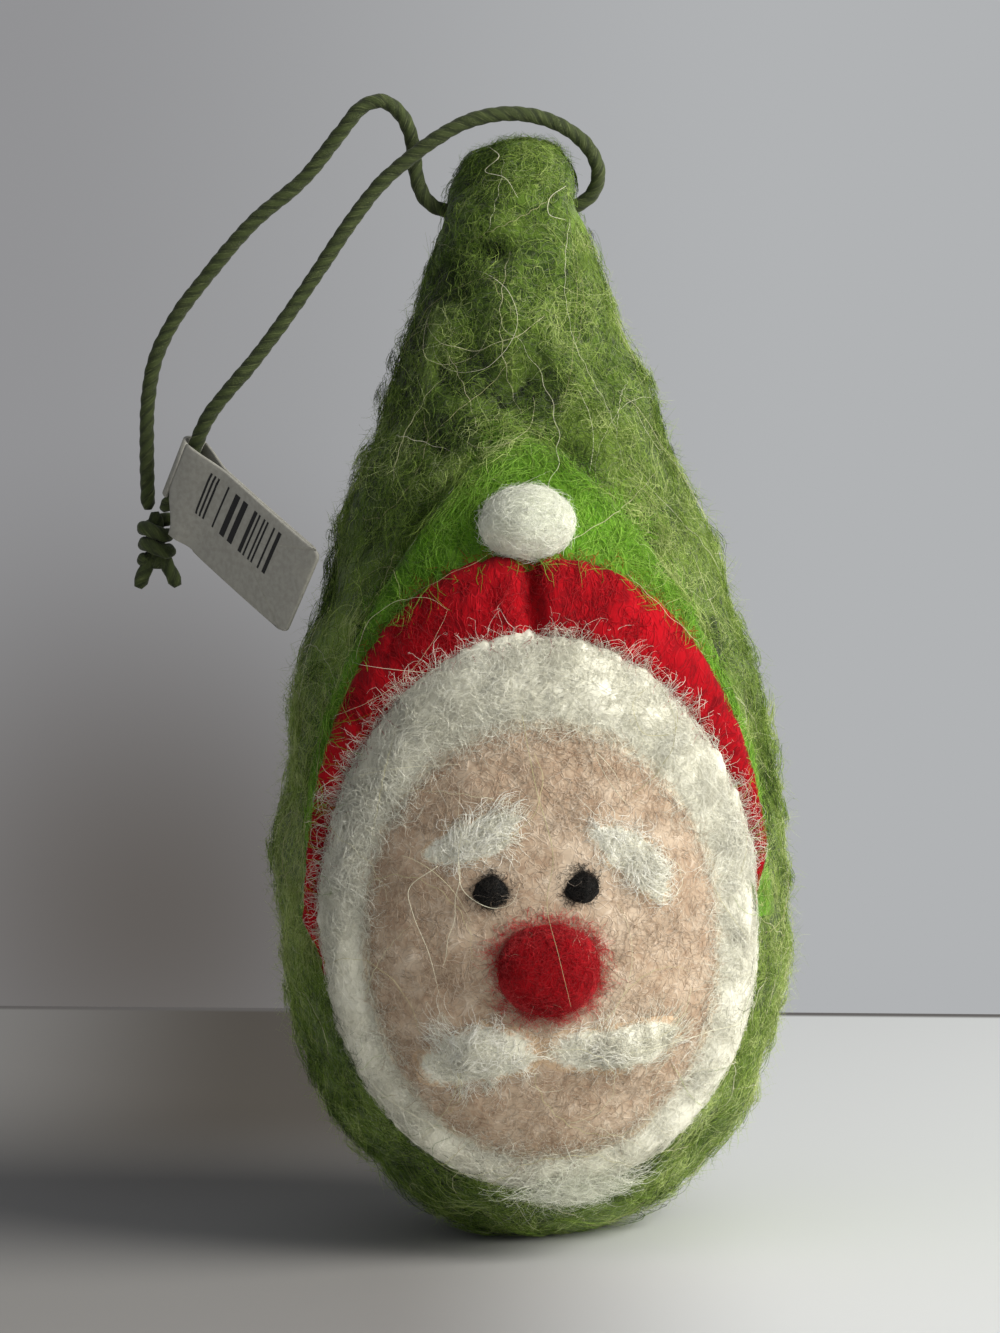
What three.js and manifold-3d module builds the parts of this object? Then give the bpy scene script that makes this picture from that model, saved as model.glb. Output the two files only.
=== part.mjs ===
// A needle-felted Christmas ornament: a pear-shaped body of green felt over a core of undyed wool,
// with a bearded face under a red hat worked onto its front, and a knotted cord loop through its tip
// that carries a folded paper label.
// Millimetres, +Z up, the face towards -Y, the origin in the middle of the flat that it stands on.
import * as THREE from "three";
import { mergeVertices } from "three/addons/utils/BufferGeometryUtils.js";
import Module from "manifold-3d";

const wasm = await Module();
wasm.setup();

// Clearances
const FIT_GAP = 0.3;
const SEAM_GAP = 0.4;

// Body of revolution
const BODY_HEIGHT = 120;
const FOOT_RADIUS = 7;
const BELLY_RADIUS = 28;
const BELLY_HEIGHT = 34;
const FLANK_FULLNESS = 36;
const FLANK_SWEEP = 26;
const NECK_RADIUS = 8;
const NECK_DROP = 8.6;
const NECK_SLOPE = 0.25;
const TIP_SHOULDER = 5;
const TIP_FULLNESS = 6.2;
const FELT_WALL = 4;

// Lumps and hollows of hand felting: waves round the body and along it, clear of its foot, tip and front
const LUMP_HEIGHT = 0.8;
const LUMP_WAVES = [
  { around: 5, pitch: 21, phase: 3.5 },
  { around: -4, pitch: 17, phase: 4.3 },
  { around: 7, pitch: 26, phase: 2 },
];
const LUMP_FADE = 8;
const LUMP_FOOT_CLEAR = 4;
const LUMP_TIP_CLEAR = 14;
const LUMP_FRONT_CLEAR = 1.05;
const LUMP_FRONT_FADE = 0.3;

// Layers on the front, each wider than the one before, measured from the middle of the face
const FACE_HEIGHT = 36;
const FACE_HALF_WIDTH = 18.6;
const FACE_RISE = 21.2;
const FACE_DROP = 23.4;
const FACE_CROWN = 2.4;
const RING_SIDE_WIDTH = 6.8;
const RING_TOP_WIDTH = 9.1;
const RING_BOTTOM_WIDTH = 4.1;
const RING_CROWN = 3.1;
const HAT_SIDE_WIDTH = 1.9;
const HAT_TOP_WIDTH = 8.2;
const HAT_CROWN = 2.5;
const HAT_LEFT_TURN = 97.5;
const HAT_RIGHT_TURN = 86;
const CLEFT_HALF_WIDTH = 1.4;
const CLEFT_SHARE = 0.7;
const CLEFT_NOTCH = 1.1;
const BAND_SIDE_WIDTH = 4.5;
const BAND_TOP_WIDTH = 13;
const BAND_CROWN = 1;
const BAND_END_TURN = 90;
const LAYER_EDGE = 0.45;
const SOFT_POWER = 2;
const FULL_POWER = 2.5;
const PEAK_POWER = 1.8;

// Pieces on the face and the hat: place across and up from the middle of the face, sizes, lean
const EYE_LEFT_ACROSS = -5;
const EYE_RIGHT_ACROSS = 3.8;
const EYE_UP = 4.5;
const EYE_RADIUS = 1.8;
const EYE_CROWN = 1;
const NOSE_ACROSS = 0.3;
const NOSE_UP = -3.6;
const NOSE_HALF_WIDTH = 4.6;
const NOSE_HALF_HEIGHT = 4.4;
const NOSE_CROWN = 3.4;
const BROW_CROWN = 1.1;
const BROW_LEFT = { across: -6.4, up: 9.7, halfLength: 5.2, halfWidth: 2.4, lean: 24, bend: 0.6 };
const BROW_RIGHT = { across: 9.2, up: 7.4, halfLength: 6.5, halfWidth: 2.4, lean: -47, bend: -0.9 };
const MOUSTACHE_CROWN = 1.6;
const MOUSTACHE_LEFT = { across: -7.4, up: -12, halfLength: 5.6, halfWidth: 3, lean: 14, bend: -0.8 };
const MOUSTACHE_RIGHT = { across: 7, up: -11.9, halfLength: 7, halfWidth: 2.5, lean: 2, bend: 1.1 };
const POMPOM_ABOVE_HAT = 3.4;
const POMPOM_HALF_WIDTH = 4.5;
const POMPOM_HALF_HEIGHT = 3.6;
const POMPOM_CROWN = 5;
const BALL_SEAT = 0.5;

// Hanging cord, through a straight tunnel in the tip whose mouths open as the cord bends upwards
const CORD_DIAMETER = 1.8;
const CORD_SIDES = 8;
const CORD_PACE = 2.7;
const TUNNEL_DROP = 8;
const MOUTH_DEPTH = 1.9;
const MOUTH_OVERCUT = 0.7;
const MOUTH_BEND = 4;
const HELD_HALF_LENGTH = 4;

// The two free strands, from inside the tunnel to the knot, measured from the middle of the tunnel
const LEFT_STRAND = [
  [-4.3, 0, 0], [-6, 0, 0], [-7.9, -0.1, 0.48], [-9.2, -0.3, 1.6], [-9.95, -0.4, 3.6],
  [-10.2, -0.4, 5.8], [-10.4, -0.6, 8], [-11.4, -1, 10.6], [-13.4, -1.3, 12.2], [-15.6, -1.2, 11.7],
  [-18.1, -0.7, 9], [-22.3, 0.3, 4.2], [-28.1, 1.2, -0.4], [-33.6, 2.4, -6.3], [-37.1, 3.3, -10.6],
  [-39.4, 4.3, -14.8], [-40.5, 5.4, -19.5], [-40.9, 6.6, -25], [-41.1, 8.2, -31.5],
];
const RIGHT_STRAND = [
  [4.3, 0, 0], [6, 0, 0], [7.9, -0.1, 0.48], [9.3, -0.5, 1.75], [9.8, -1.2, 3.8], [8.9, -2, 6.2],
  [6.7, -2.8, 8.3], [3.5, -3.3, 9.8], [-0.3, -3.6, 10.3], [-4.3, -3.6, 9.6], [-7.9, -3.4, 7.8],
  [-11.1, -3, 5.6], [-14, -2.6, 3.2], [-17.3, -2.2, -0.7], [-21, -1.8, -5.8], [-24.8, -1.4, -10.9],
  [-28.8, -1, -15.8], [-31.4, -0.5, -18.6], [-33.8, 0.5, -21.5], [-35.9, 2.7, -25.8],
  [-37, 3.9, -28.4], [-38.2, 5.2, -30.4], [-39.4, 6.2, -31.5],
];

// Knot at the end of both strands
const KNOT_PLACE = [-40.3, 7.2, -31.8];
const KNOT_TURNS = 2.6;
const KNOT_PITCH = 1.75;
const KNOT_MEAN_RADIUS = 1.35;
const KNOT_HEART_RADIUS = 0.85;
const TAIL_LENGTH = 3.2;
const TAIL_SPREAD = 24;

// Label, a strip of paper folded round the right strand with its two leaves stuck together
const LABEL_STRAND_POINT = [-35.9, 2.7, -25.8];
const LABEL_LENGTH = 22.2;
const LABEL_RISE = 1.9;
const LABEL_DROP = 8.4;
const LABEL_CORNER = 0.8;
const LABEL_BACK_SHIFT = 0.8;
const LABEL_WRAP_LENGTH = 4;
const PAPER = 0.35;

// Facets
const BODY_PROFILE_STEPS = [10, 18, 6];
const FINE_PROFILE_STEPS = [80, 80, 40];
const CORE_PROFILE_STEPS = 13;
const MOUTH_STEPS = 4;
const BODY_SEGMENTS = 44;
const CORE_SEGMENTS = 24;
const ROUND_SEGMENTS = 16;
const PAD_SEGMENTS = 20;
const LAYER_SEGMENTS = 48;
const CLEFT_TURNS = [1.5, 3.5];
const HALF_TURN = 180;

// Meshes, solids and booleans
function bare(geometry) {
  const copy = geometry.clone();
  copy.deleteAttribute("normal");
  copy.deleteAttribute("uv");
  return mergeVertices(copy, 1e-4);
}

function toSolid(geometry) {
  const merged = bare(geometry);
  return new wasm.Manifold(new wasm.Mesh({
    numProp: 3,
    vertProperties: new Float32Array(merged.attributes.position.array),
    triVerts: new Uint32Array(merged.index.array),
  }));
}

function fromSolid(solid) {
  const mesh = solid.getMesh();
  const geometry = new THREE.BufferGeometry();
  geometry.setAttribute("position", new THREE.Float32BufferAttribute(mesh.vertProperties, 3));
  geometry.setIndex(new THREE.Uint32BufferAttribute(mesh.triVerts, 1));
  return geometry;
}

function signedVolume(points, faces) {
  let six = 0;
  for (const [a, b, c] of faces) {
    six += points[a].dot(points[b].clone().cross(points[c]));
  }
  return six / 6;
}

// Skin over a row of equal loops: a closed ring, or capped at both ends on the two apex points
function skinLoops(loops, apexes) {
  const count = loops[0].length;
  const points = loops.flat();
  const faces = [];
  const spans = apexes ? loops.length - 1 : loops.length;
  for (let i = 0; i < spans; i += 1) {
    const here = i * count;
    const next = ((i + 1) % loops.length) * count;
    for (let j = 0; j < count; j += 1) {
      const k = (j + 1) % count;
      faces.push([here + j, next + j, next + k], [here + j, next + k, here + k]);
    }
  }
  if (apexes) {
    const last = (loops.length - 1) * count;
    const first = points.push(apexes[0]) - 1;
    const end = points.push(apexes[1]) - 1;
    for (let j = 0; j < count; j += 1) {
      const k = (j + 1) % count;
      faces.push([first, j, k], [end, last + k, last + j]);
    }
  }
  const outward = signedVolume(points, faces) > 0;
  const geometry = new THREE.BufferGeometry().setFromPoints(points);
  geometry.setIndex(faces.flatMap(([a, b, c]) => (outward ? [a, b, c] : [a, c, b])));
  return geometry;
}

function middle(points) {
  const sum = new THREE.Vector3();
  points.forEach((point) => sum.add(point));
  return sum.divideScalar(points.length);
}

// Profile of the body, from the foot to the tip, as radius and height
const neckHeight = BODY_HEIGHT - NECK_DROP;
const footHalfHeight = BELLY_HEIGHT / Math.sqrt(1 - (FOOT_RADIUS / BELLY_RADIUS) ** 2);
const footAngle = -Math.acos(FOOT_RADIUS / BELLY_RADIUS);
const lowerCurve = new THREE.EllipseCurve(0, BELLY_HEIGHT, BELLY_RADIUS, footHalfHeight, footAngle, 0);
const flankCurve = new THREE.CubicBezierCurve(
  new THREE.Vector2(BELLY_RADIUS, BELLY_HEIGHT),
  new THREE.Vector2(BELLY_RADIUS, BELLY_HEIGHT + FLANK_FULLNESS),
  new THREE.Vector2(NECK_RADIUS + NECK_SLOPE * FLANK_SWEEP, neckHeight - FLANK_SWEEP),
  new THREE.Vector2(NECK_RADIUS, neckHeight),
);
const tipCurve = new THREE.CubicBezierCurve(
  new THREE.Vector2(NECK_RADIUS, neckHeight),
  new THREE.Vector2(NECK_RADIUS - NECK_SLOPE * TIP_SHOULDER, neckHeight + TIP_SHOULDER),
  new THREE.Vector2(TIP_FULLNESS, BODY_HEIGHT),
  new THREE.Vector2(0, BODY_HEIGHT),
);

function profilePoints([lower, flank, tip]) {
  return [
    ...lowerCurve.getPoints(lower),
    ...flankCurve.getPoints(flank).slice(1),
    ...tipCurve.getPoints(tip).slice(1),
  ];
}

const fineProfile = profilePoints(FINE_PROFILE_STEPS);

function radiusAt(height) {
  const last = fineProfile.length - 1;
  const found = fineProfile.findIndex((point, i) => i > 0 && point.y >= height);
  const upper = found < 0 ? last : found;
  const from = fineProfile[upper - 1];
  const to = fineProfile[upper];
  return from.x + (to.x - from.x) * ((height - from.y) / (to.y - from.y));
}

function slopeAt(height) {
  const reach = 0.5;
  return (radiusAt(height + reach) - radiusAt(height - reach)) / (2 * reach);
}

// Point over the body's front, at an angle from -Y and a height, lifted along the surface's normal
function overBody(angle, height, lift) {
  const slope = slopeAt(height);
  const scale = lift / Math.hypot(1, slope);
  const radius = radiusAt(height) + scale;
  return new THREE.Vector3(radius * Math.sin(angle), -radius * Math.cos(angle), height - slope * scale);
}

function revolve(profile, segments) {
  return new THREE.LatheGeometry(profile, segments).rotateX(Math.PI / 2);
}

function insetProfile(depth) {
  const bottom = depth;
  const top = BODY_HEIGHT - depth;
  const points = [new THREE.Vector2(0, bottom)];
  for (let i = 0; i <= CORE_PROFILE_STEPS; i += 1) {
    const height = bottom + (top - bottom) * (i / CORE_PROFILE_STEPS);
    const inset = depth * Math.hypot(1, slopeAt(height));
    points.push(new THREE.Vector2(Math.max(radiusAt(height) - inset, FIT_GAP), height));
  }
  points.push(new THREE.Vector2(0, top));
  return points;
}

// Tunnel for the cord, with bell mouths that clear the bend at any swing of the loop
const tunnelHeight = BODY_HEIGHT - TUNNEL_DROP;

function tunnelCutter() {
  const bore = CORD_DIAMETER / 2 + FIT_GAP;
  const straight = radiusAt(tunnelHeight) - MOUTH_DEPTH;
  const reach = radiusAt(tunnelHeight) + MOUTH_OVERCUT;
  const half = [];
  for (let i = 0; i <= MOUTH_STEPS; i += 1) {
    const past = (reach - straight) * (i / MOUTH_STEPS);
    const flare = MOUTH_BEND - Math.sqrt((MOUTH_BEND - bore) ** 2 - past ** 2);
    half.push(new THREE.Vector2(flare, straight + past));
  }
  const mirrored = half.map((point) => new THREE.Vector2(point.x, -point.y)).reverse();
  const profile = [
    new THREE.Vector2(0, -reach), ...mirrored, ...half, new THREE.Vector2(0, reach),
  ];
  return new THREE.LatheGeometry(profile, ROUND_SEGMENTS)
    .rotateZ(-Math.PI / 2)
    .translate(0, 0, tunnelHeight);
}

const tunnel = toSolid(tunnelCutter());

// Lift of the hand-felted surface over the body's smooth form
function lumpAt(angle, height) {
  const waves = LUMP_WAVES.map(({ around, pitch, phase }) => (
    Math.sin(around * angle + (2 * Math.PI * height) / pitch + phase)
  ));
  const level = waves.reduce((sum, wave) => sum + wave) / waves.length;
  const front = shareOf(bandEdge, angle * BELLY_RADIUS, height - FACE_HEIGHT);
  const fades = [
    (height - LUMP_FOOT_CLEAR) / LUMP_FADE,
    (BODY_HEIGHT - LUMP_TIP_CLEAR - height) / LUMP_FADE,
    (front - LUMP_FRONT_CLEAR) / LUMP_FRONT_FADE,
  ].map((share) => THREE.MathUtils.smoothstep(share, 0, 1));
  return LUMP_HEIGHT * level * Math.min(...fades);
}

function feltedOutside() {
  const profile = [new THREE.Vector2(0, 0), ...profilePoints(BODY_PROFILE_STEPS)];
  const geometry = bare(revolve(profile, BODY_SEGMENTS));
  const places = geometry.attributes.position;
  for (let i = 0; i < places.count; i += 1) {
    const { x, y, z } = new THREE.Vector3().fromBufferAttribute(places, i);
    const angle = Math.atan2(x, -y);
    const lift = lumpAt(angle, z);
    if (lift !== 0) {
      places.setXYZ(i, ...overBody(angle, z, lift).toArray());
    }
  }
  return geometry;
}

function feltBody() {
  const cavity = toSolid(revolve(insetProfile(FELT_WALL), CORE_SEGMENTS));
  return fromSolid(toSolid(feltedOutside()).subtract(cavity).subtract(tunnel));
}

function woolCore() {
  const core = toSolid(revolve(insetProfile(FELT_WALL + FIT_GAP), CORE_SEGMENTS));
  return fromSolid(core.subtract(tunnel));
}

// Edges of the layers on the unrolled front, where a turn of 0 is straight up from the face's middle
function edgeOf(halfWidth, rise, drop, upperPower) {
  return { halfWidth, rise, drop, upperPower };
}

function grown(edge, by) {
  return edgeOf(edge.halfWidth + by, edge.rise + by, edge.drop + by, edge.upperPower);
}

function edgePoint(edge, turn) {
  const side = Math.sin(turn);
  const up = Math.cos(turn);
  const reach = up > 0 ? edge.rise : edge.drop;
  const power = 2 / (up > 0 ? edge.upperPower : FULL_POWER);
  return new THREE.Vector2(
    edge.halfWidth * Math.sign(side) * Math.abs(side) ** power,
    FACE_HEIGHT + reach * Math.sign(up) * Math.abs(up) ** power,
  );
}

const faceEdge = edgeOf(FACE_HALF_WIDTH, FACE_RISE, FACE_DROP, SOFT_POWER);
const ringEdge = edgeOf(
  FACE_HALF_WIDTH + RING_SIDE_WIDTH,
  FACE_RISE + RING_TOP_WIDTH,
  FACE_DROP + RING_BOTTOM_WIDTH,
  SOFT_POWER,
);
const hatEdge = edgeOf(
  ringEdge.halfWidth + HAT_SIDE_WIDTH, ringEdge.rise + HAT_TOP_WIDTH, ringEdge.drop, FULL_POWER,
);
const bandEdge = edgeOf(
  hatEdge.halfWidth + BAND_SIDE_WIDTH, hatEdge.rise + BAND_TOP_WIDTH, hatEdge.drop, PEAK_POWER,
);

// How far out a place on the front lies: 1 on the edge
function shareOf(edge, across, up) {
  const reach = up > 0 ? edge.rise : edge.drop;
  const power = up > 0 ? edge.upperPower : FULL_POWER;
  return (Math.abs(across / edge.halfWidth) ** power + Math.abs(up / reach) ** power) ** (1 / power);
}

function cleftAt(across) {
  return Math.exp(-((across / CLEFT_HALF_WIDTH) ** 2));
}

// The hat's upper edge dips where the needle has pinched its two lobes apart
function hatTop(edge, turn) {
  const point = edgePoint(edge, turn);
  point.y -= CLEFT_NOTCH * cleftAt(point.x);
  return point;
}

const onBody = (across, height, lift) => overBody(across / BELLY_RADIUS, height, lift + FIT_GAP);

// Turns of one grid that all the layers share, so that their facets meet, and the two ends of a strip
function turnsBetween(left, right) {
  const step = (2 * HALF_TURN) / LAYER_SEGMENTS;
  const turns = [right, ...CLEFT_TURNS.flatMap((turn) => [-turn, turn])];
  if (left < HALF_TURN) {
    turns.push(-left);
  }
  for (let turn = step - HALF_TURN; turn < right; turn += step) {
    if (turn > -left) {
      turns.push(turn);
    }
  }
  return turns.sort((a, b) => a - b).map(THREE.MathUtils.degToRad);
}

// A puffed strip of felt between two edges, thin where it meets them, from its left end to its right
function feltStrip(innerAt, outerAt, crownAt, left, right) {
  const shares = [0, 0.12, 0.32, 0.5, 0.68, 0.88, 1];
  const loops = turnsBetween(left, right).map((turn) => {
    const inner = innerAt(turn);
    const outer = outerAt(turn);
    const place = (share) => inner.clone().lerp(outer, share);
    const rise = crownAt(place(0.5).x) - LAYER_EDGE;
    const above = shares.map((share) => {
      const { x, y } = place(share);
      return onBody(x, y, LAYER_EDGE + rise * Math.sqrt(1 - (2 * share - 1) ** 2));
    });
    const below = [1, 0.5, 0].map((share) => onBody(place(share).x, place(share).y, 0));
    return [...above, ...below];
  });
  return skinLoops(loops, left < HALF_TURN ? [middle(loops[0]), middle(loops.at(-1))] : null);
}

function whiteRing() {
  const inner = (turn) => edgePoint(grown(faceEdge, SEAM_GAP), turn);
  const outer = (turn) => edgePoint(ringEdge, turn);
  return feltStrip(inner, outer, () => RING_CROWN, HALF_TURN, HALF_TURN);
}

function redHat() {
  const inner = (turn) => edgePoint(grown(ringEdge, SEAM_GAP), turn);
  const outer = (turn) => hatTop(hatEdge, turn);
  const crown = (across) => HAT_CROWN * (1 - CLEFT_SHARE * cleftAt(across));
  return feltStrip(inner, outer, crown, HAT_LEFT_TURN, HAT_RIGHT_TURN);
}

function greenBand() {
  const inner = (turn) => hatTop(grown(hatEdge, SEAM_GAP), turn);
  const outer = (turn) => edgePoint(bandEdge, turn);
  return feltStrip(inner, outer, () => BAND_CROWN, BAND_END_TURN, BAND_END_TURN);
}

// A pad of felt over a surface: its outline shrinks and lifts along a profile of spread and height
function feltPad(surface, outline, profile) {
  const heart = outline.reduce((sum, point) => sum.add(point), new THREE.Vector2());
  heart.divideScalar(outline.length);
  const loops = profile.slice(1, -1).map(([spread, lift]) => outline.map((point) => {
    const { x, y } = heart.clone().lerp(point, spread);
    return surface(x, y, lift);
  }));
  const apexes = [profile[0], profile.at(-1)].map(([, lift]) => surface(heart.x, heart.y, lift));
  return skinLoops(loops, apexes);
}

function domeProfile(crown) {
  const above = [0, 0.4, 0.7, 0.9, 1].map((spread) => [
    spread, LAYER_EDGE + (crown - LAYER_EDGE) * Math.sqrt(1 - spread ** 2),
  ]);
  const below = [1, 0.75, 0.5, 0.25, 0].map((spread) => [spread, 0]);
  return [...above, ...below];
}

// A ball that is pressed down onto its seat
function ballProfile(crown) {
  const steps = 6;
  const seatAngle = Math.acos(-BALL_SEAT);
  const profile = [];
  for (let i = 0; i <= steps; i += 1) {
    const angle = seatAngle * (i / steps);
    profile.push([Math.sin(angle), (crown * (Math.cos(angle) + BALL_SEAT)) / (1 + BALL_SEAT)]);
  }
  return [...profile, [0.4, 0], [0, 0]];
}

// A bean: an oval of a given lean whose middle line bends
function beanOutline({ across, up, halfLength, halfWidth, lean, bend }) {
  const points = [];
  for (let i = 0; i < PAD_SEGMENTS; i += 1) {
    const angle = (2 * Math.PI * i) / PAD_SEGMENTS;
    const along = Math.cos(angle);
    const point = new THREE.Vector2(halfLength * along, halfWidth * Math.sin(angle) + bend * along ** 2);
    point.rotateAround(new THREE.Vector2(), THREE.MathUtils.degToRad(lean));
    points.push(point.add(new THREE.Vector2(across, FACE_HEIGHT + up)));
  }
  return points;
}

function ovalOutline(across, up, halfLength, halfWidth) {
  return beanOutline({ across, up, halfLength, halfWidth, lean: 0, bend: 0 });
}

function facePad() {
  const outline = turnsBetween(HALF_TURN, HALF_TURN).map((turn) => edgePoint(faceEdge, turn));
  return feltPad(onBody, outline, domeProfile(FACE_CROWN));
}

// Surface of the face pad, for what is worked onto it
function onFace(across, height, lift) {
  const share = Math.min(shareOf(faceEdge, across, height - FACE_HEIGHT), 1);
  const relief = LAYER_EDGE + (FACE_CROWN - LAYER_EDGE) * Math.sqrt(1 - share ** 2);
  return onBody(across, height, relief + FIT_GAP + lift);
}

// The pompom sits on the band, over the hat's cleft
function pompom() {
  const up = hatEdge.rise + POMPOM_ABOVE_HAT;
  const radius = radiusAt(FACE_HEIGHT + up);
  const seat = BAND_CROWN + 2 * FIT_GAP;
  const onBand = (across, height, lift) => overBody(across / radius, height, lift + seat);
  const outline = ovalOutline(0, up, POMPOM_HALF_WIDTH, POMPOM_HALF_HEIGHT);
  return feltPad(onBand, outline, ballProfile(POMPOM_CROWN));
}

function eye(across) {
  return feltPad(onFace, ovalOutline(across, EYE_UP, EYE_RADIUS, EYE_RADIUS), domeProfile(EYE_CROWN));
}

function nose() {
  const outline = ovalOutline(NOSE_ACROSS, NOSE_UP, NOSE_HALF_WIDTH, NOSE_HALF_HEIGHT);
  return feltPad(onFace, outline, ballProfile(NOSE_CROWN));
}

// Cord
const cordRadius = CORD_DIAMETER / 2;

function roundShape(radius, sides) {
  const points = [];
  for (let i = 0; i < sides; i += 1) {
    const angle = (2 * Math.PI * i) / sides;
    points.push(new THREE.Vector2(radius * Math.cos(angle), radius * Math.sin(angle)));
  }
  return new THREE.Shape(points);
}

function tubeAlong(curve, radius, steps) {
  return new THREE.ExtrudeGeometry(roundShape(radius, CORD_SIDES), {
    steps, bevelEnabled: false, extrudePath: curve,
  });
}

function fromTunnel([x, y, z]) {
  return new THREE.Vector3(x, y, tunnelHeight + z);
}

function strandCurve(route) {
  return new THREE.CatmullRomCurve3(route.map(fromTunnel));
}

function strand(route) {
  const curve = strandCurve(route);
  return tubeAlong(curve, cordRadius, Math.round(curve.getLength() / CORD_PACE));
}

function heldCord() {
  const ends = [[-HELD_HALF_LENGTH, 0, 0], [HELD_HALF_LENGTH, 0, 0]].map(fromTunnel);
  return tubeAlong(new THREE.LineCurve3(...ends), cordRadius, 1);
}

// Knot: the cord wound round both strands, with the two cut tails spreading below
class KnotWrap extends THREE.Curve {
  getPoint(share, target = new THREE.Vector3()) {
    const angle = 2 * Math.PI * KNOT_TURNS * share;
    return target.set(
      KNOT_MEAN_RADIUS * Math.cos(angle),
      KNOT_MEAN_RADIUS * Math.sin(angle),
      -cordRadius - KNOT_PITCH * KNOT_TURNS * share,
    );
  }
}

function cordKnot() {
  const stepsPerTurn = 10;
  const wrap = tubeAlong(new KnotWrap(), cordRadius, Math.round(KNOT_TURNS * stepsPerTurn));
  const bottom = CORD_DIAMETER + KNOT_PITCH * KNOT_TURNS;
  const heart = new THREE.CylinderGeometry(KNOT_HEART_RADIUS, KNOT_HEART_RADIUS, bottom, CORD_SIDES)
    .rotateX(Math.PI / 2)
    .translate(0, 0, -bottom / 2);
  let knot = toSolid(wrap).add(toSolid(heart));
  for (const side of [-1, 1]) {
    const lean = THREE.MathUtils.degToRad(TAIL_SPREAD) * side;
    const tail = new THREE.CylinderGeometry(cordRadius, cordRadius, TAIL_LENGTH, CORD_SIDES)
      .rotateX(Math.PI / 2)
      .translate(0, 0, -TAIL_LENGTH / 2)
      .rotateY(-lean)
      .translate(side * KNOT_HEART_RADIUS, 0, -bottom + CORD_DIAMETER / 2);
    knot = knot.add(toSolid(tail));
  }
  return fromSolid(knot);
}

// Label, built with its fold along Z at the origin and its leaves along X
function roundedLeaf(from, to, bottom, top) {
  const shape = new THREE.Shape();
  shape.moveTo(from, bottom);
  shape.lineTo(to - LABEL_CORNER, bottom);
  shape.quadraticCurveTo(to, bottom, to, bottom + LABEL_CORNER);
  shape.lineTo(to, top - LABEL_CORNER);
  shape.quadraticCurveTo(to, top, to - LABEL_CORNER, top);
  shape.lineTo(from, top);
  shape.closePath();
  return new THREE.ExtrudeGeometry(shape, { depth: PAPER, bevelEnabled: false, curveSegments: 4 })
    .rotateX(Math.PI / 2);
}

function foldedLabel() {
  const bore = cordRadius + FIT_GAP;
  const ring = roundShape(bore + PAPER, ROUND_SEGMENTS);
  ring.holes.push(new THREE.Path(roundShape(bore, ROUND_SEGMENTS).getPoints()));
  const wrap = new THREE.ExtrudeGeometry(ring, { depth: LABEL_WRAP_LENGTH, bevelEnabled: false })
    .translate(0, 0, LABEL_RISE - LABEL_WRAP_LENGTH);
  const root = bore + PAPER / 2;
  const front = roundedLeaf(root, LABEL_LENGTH, -LABEL_DROP, LABEL_RISE);
  const back = roundedLeaf(
    root, LABEL_LENGTH - LABEL_BACK_SHIFT, -LABEL_DROP - LABEL_BACK_SHIFT / 2, LABEL_RISE,
  ).translate(0, PAPER, 0);
  return fromSolid(toSolid(wrap).add(toSolid(front)).add(toSolid(back)));
}

// The label hangs square to its fold, as low as it can
function labelPlacement() {
  const curve = strandCurve(RIGHT_STRAND);
  const place = fromTunnel(LABEL_STRAND_POINT);
  const samples = 400;
  const nearest = curve.getPoints(samples)
    .map((point, i) => ({ share: i / samples, distance: point.distanceTo(place) }))
    .sort((a, b) => a.distance - b.distance)[0].share;
  const down = curve.getTangent(nearest);
  const hang = new THREE.Vector3(0, 0, -1).projectOnPlane(down).normalize();
  const up = down.clone().negate();
  const across = up.clone().cross(hang);
  return new THREE.Matrix4().makeBasis(hang, across, up).setPosition(curve.getPoint(nearest));
}

// Materials
function felt(color) {
  return new THREE.MeshStandardMaterial({ color, roughness: 0.95, metalness: 0 });
}

const oliveFelt = felt(0x5f7a34);
const brightGreenFelt = felt(0x5f9a2c);
const redFelt = felt(0xb01420);
const whiteFelt = felt(0xdedbd2);
const skinFelt = felt(0xd0ac94);
const blackFelt = felt(0x17171a);
const coreWool = felt(0xe2d9c4);
const cordCotton = new THREE.MeshStandardMaterial({ color: 0x565f38, roughness: 0.85, metalness: 0 });
const labelPaper = new THREE.MeshStandardMaterial({ color: 0xe6e3dc, roughness: 0.7, metalness: 0 });

// Assembly
const ornament = new THREE.Group();

function addPiece(name, geometry, material) {
  const mesh = new THREE.Mesh(geometry, material);
  mesh.name = name;
  ornament.add(mesh);
  return mesh;
}

addPiece("wool_core", woolCore(), coreWool);
addPiece("green_felt_body", feltBody(), oliveFelt);
addPiece("bright_green_band", greenBand(), brightGreenFelt);
addPiece("red_hat", redHat(), redFelt);
addPiece("hat_pompom", pompom(), whiteFelt);
addPiece("hat_trim_and_beard", whiteRing(), whiteFelt);
addPiece("face_pad", facePad(), skinFelt);
addPiece("left_brow", feltPad(onFace, beanOutline(BROW_LEFT), domeProfile(BROW_CROWN)), whiteFelt);
addPiece("right_brow", feltPad(onFace, beanOutline(BROW_RIGHT), domeProfile(BROW_CROWN)), whiteFelt);
addPiece("left_eye", eye(EYE_LEFT_ACROSS), blackFelt);
addPiece("right_eye", eye(EYE_RIGHT_ACROSS), blackFelt);
addPiece("nose", nose(), redFelt);
for (const [name, bean] of [["left", MOUSTACHE_LEFT], ["right", MOUSTACHE_RIGHT]]) {
  const half = feltPad(onFace, beanOutline(bean), domeProfile(MOUSTACHE_CROWN));
  addPiece(`${name}_moustache`, half, whiteFelt);
}
addPiece("cord_in_tip", heldCord(), cordCotton);
addPiece("cord_left_strand", strand(LEFT_STRAND), cordCotton);
addPiece("cord_right_strand", strand(RIGHT_STRAND), cordCotton);
addPiece("cord_knot", cordKnot(), cordCotton).position.copy(fromTunnel(KNOT_PLACE));
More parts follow.
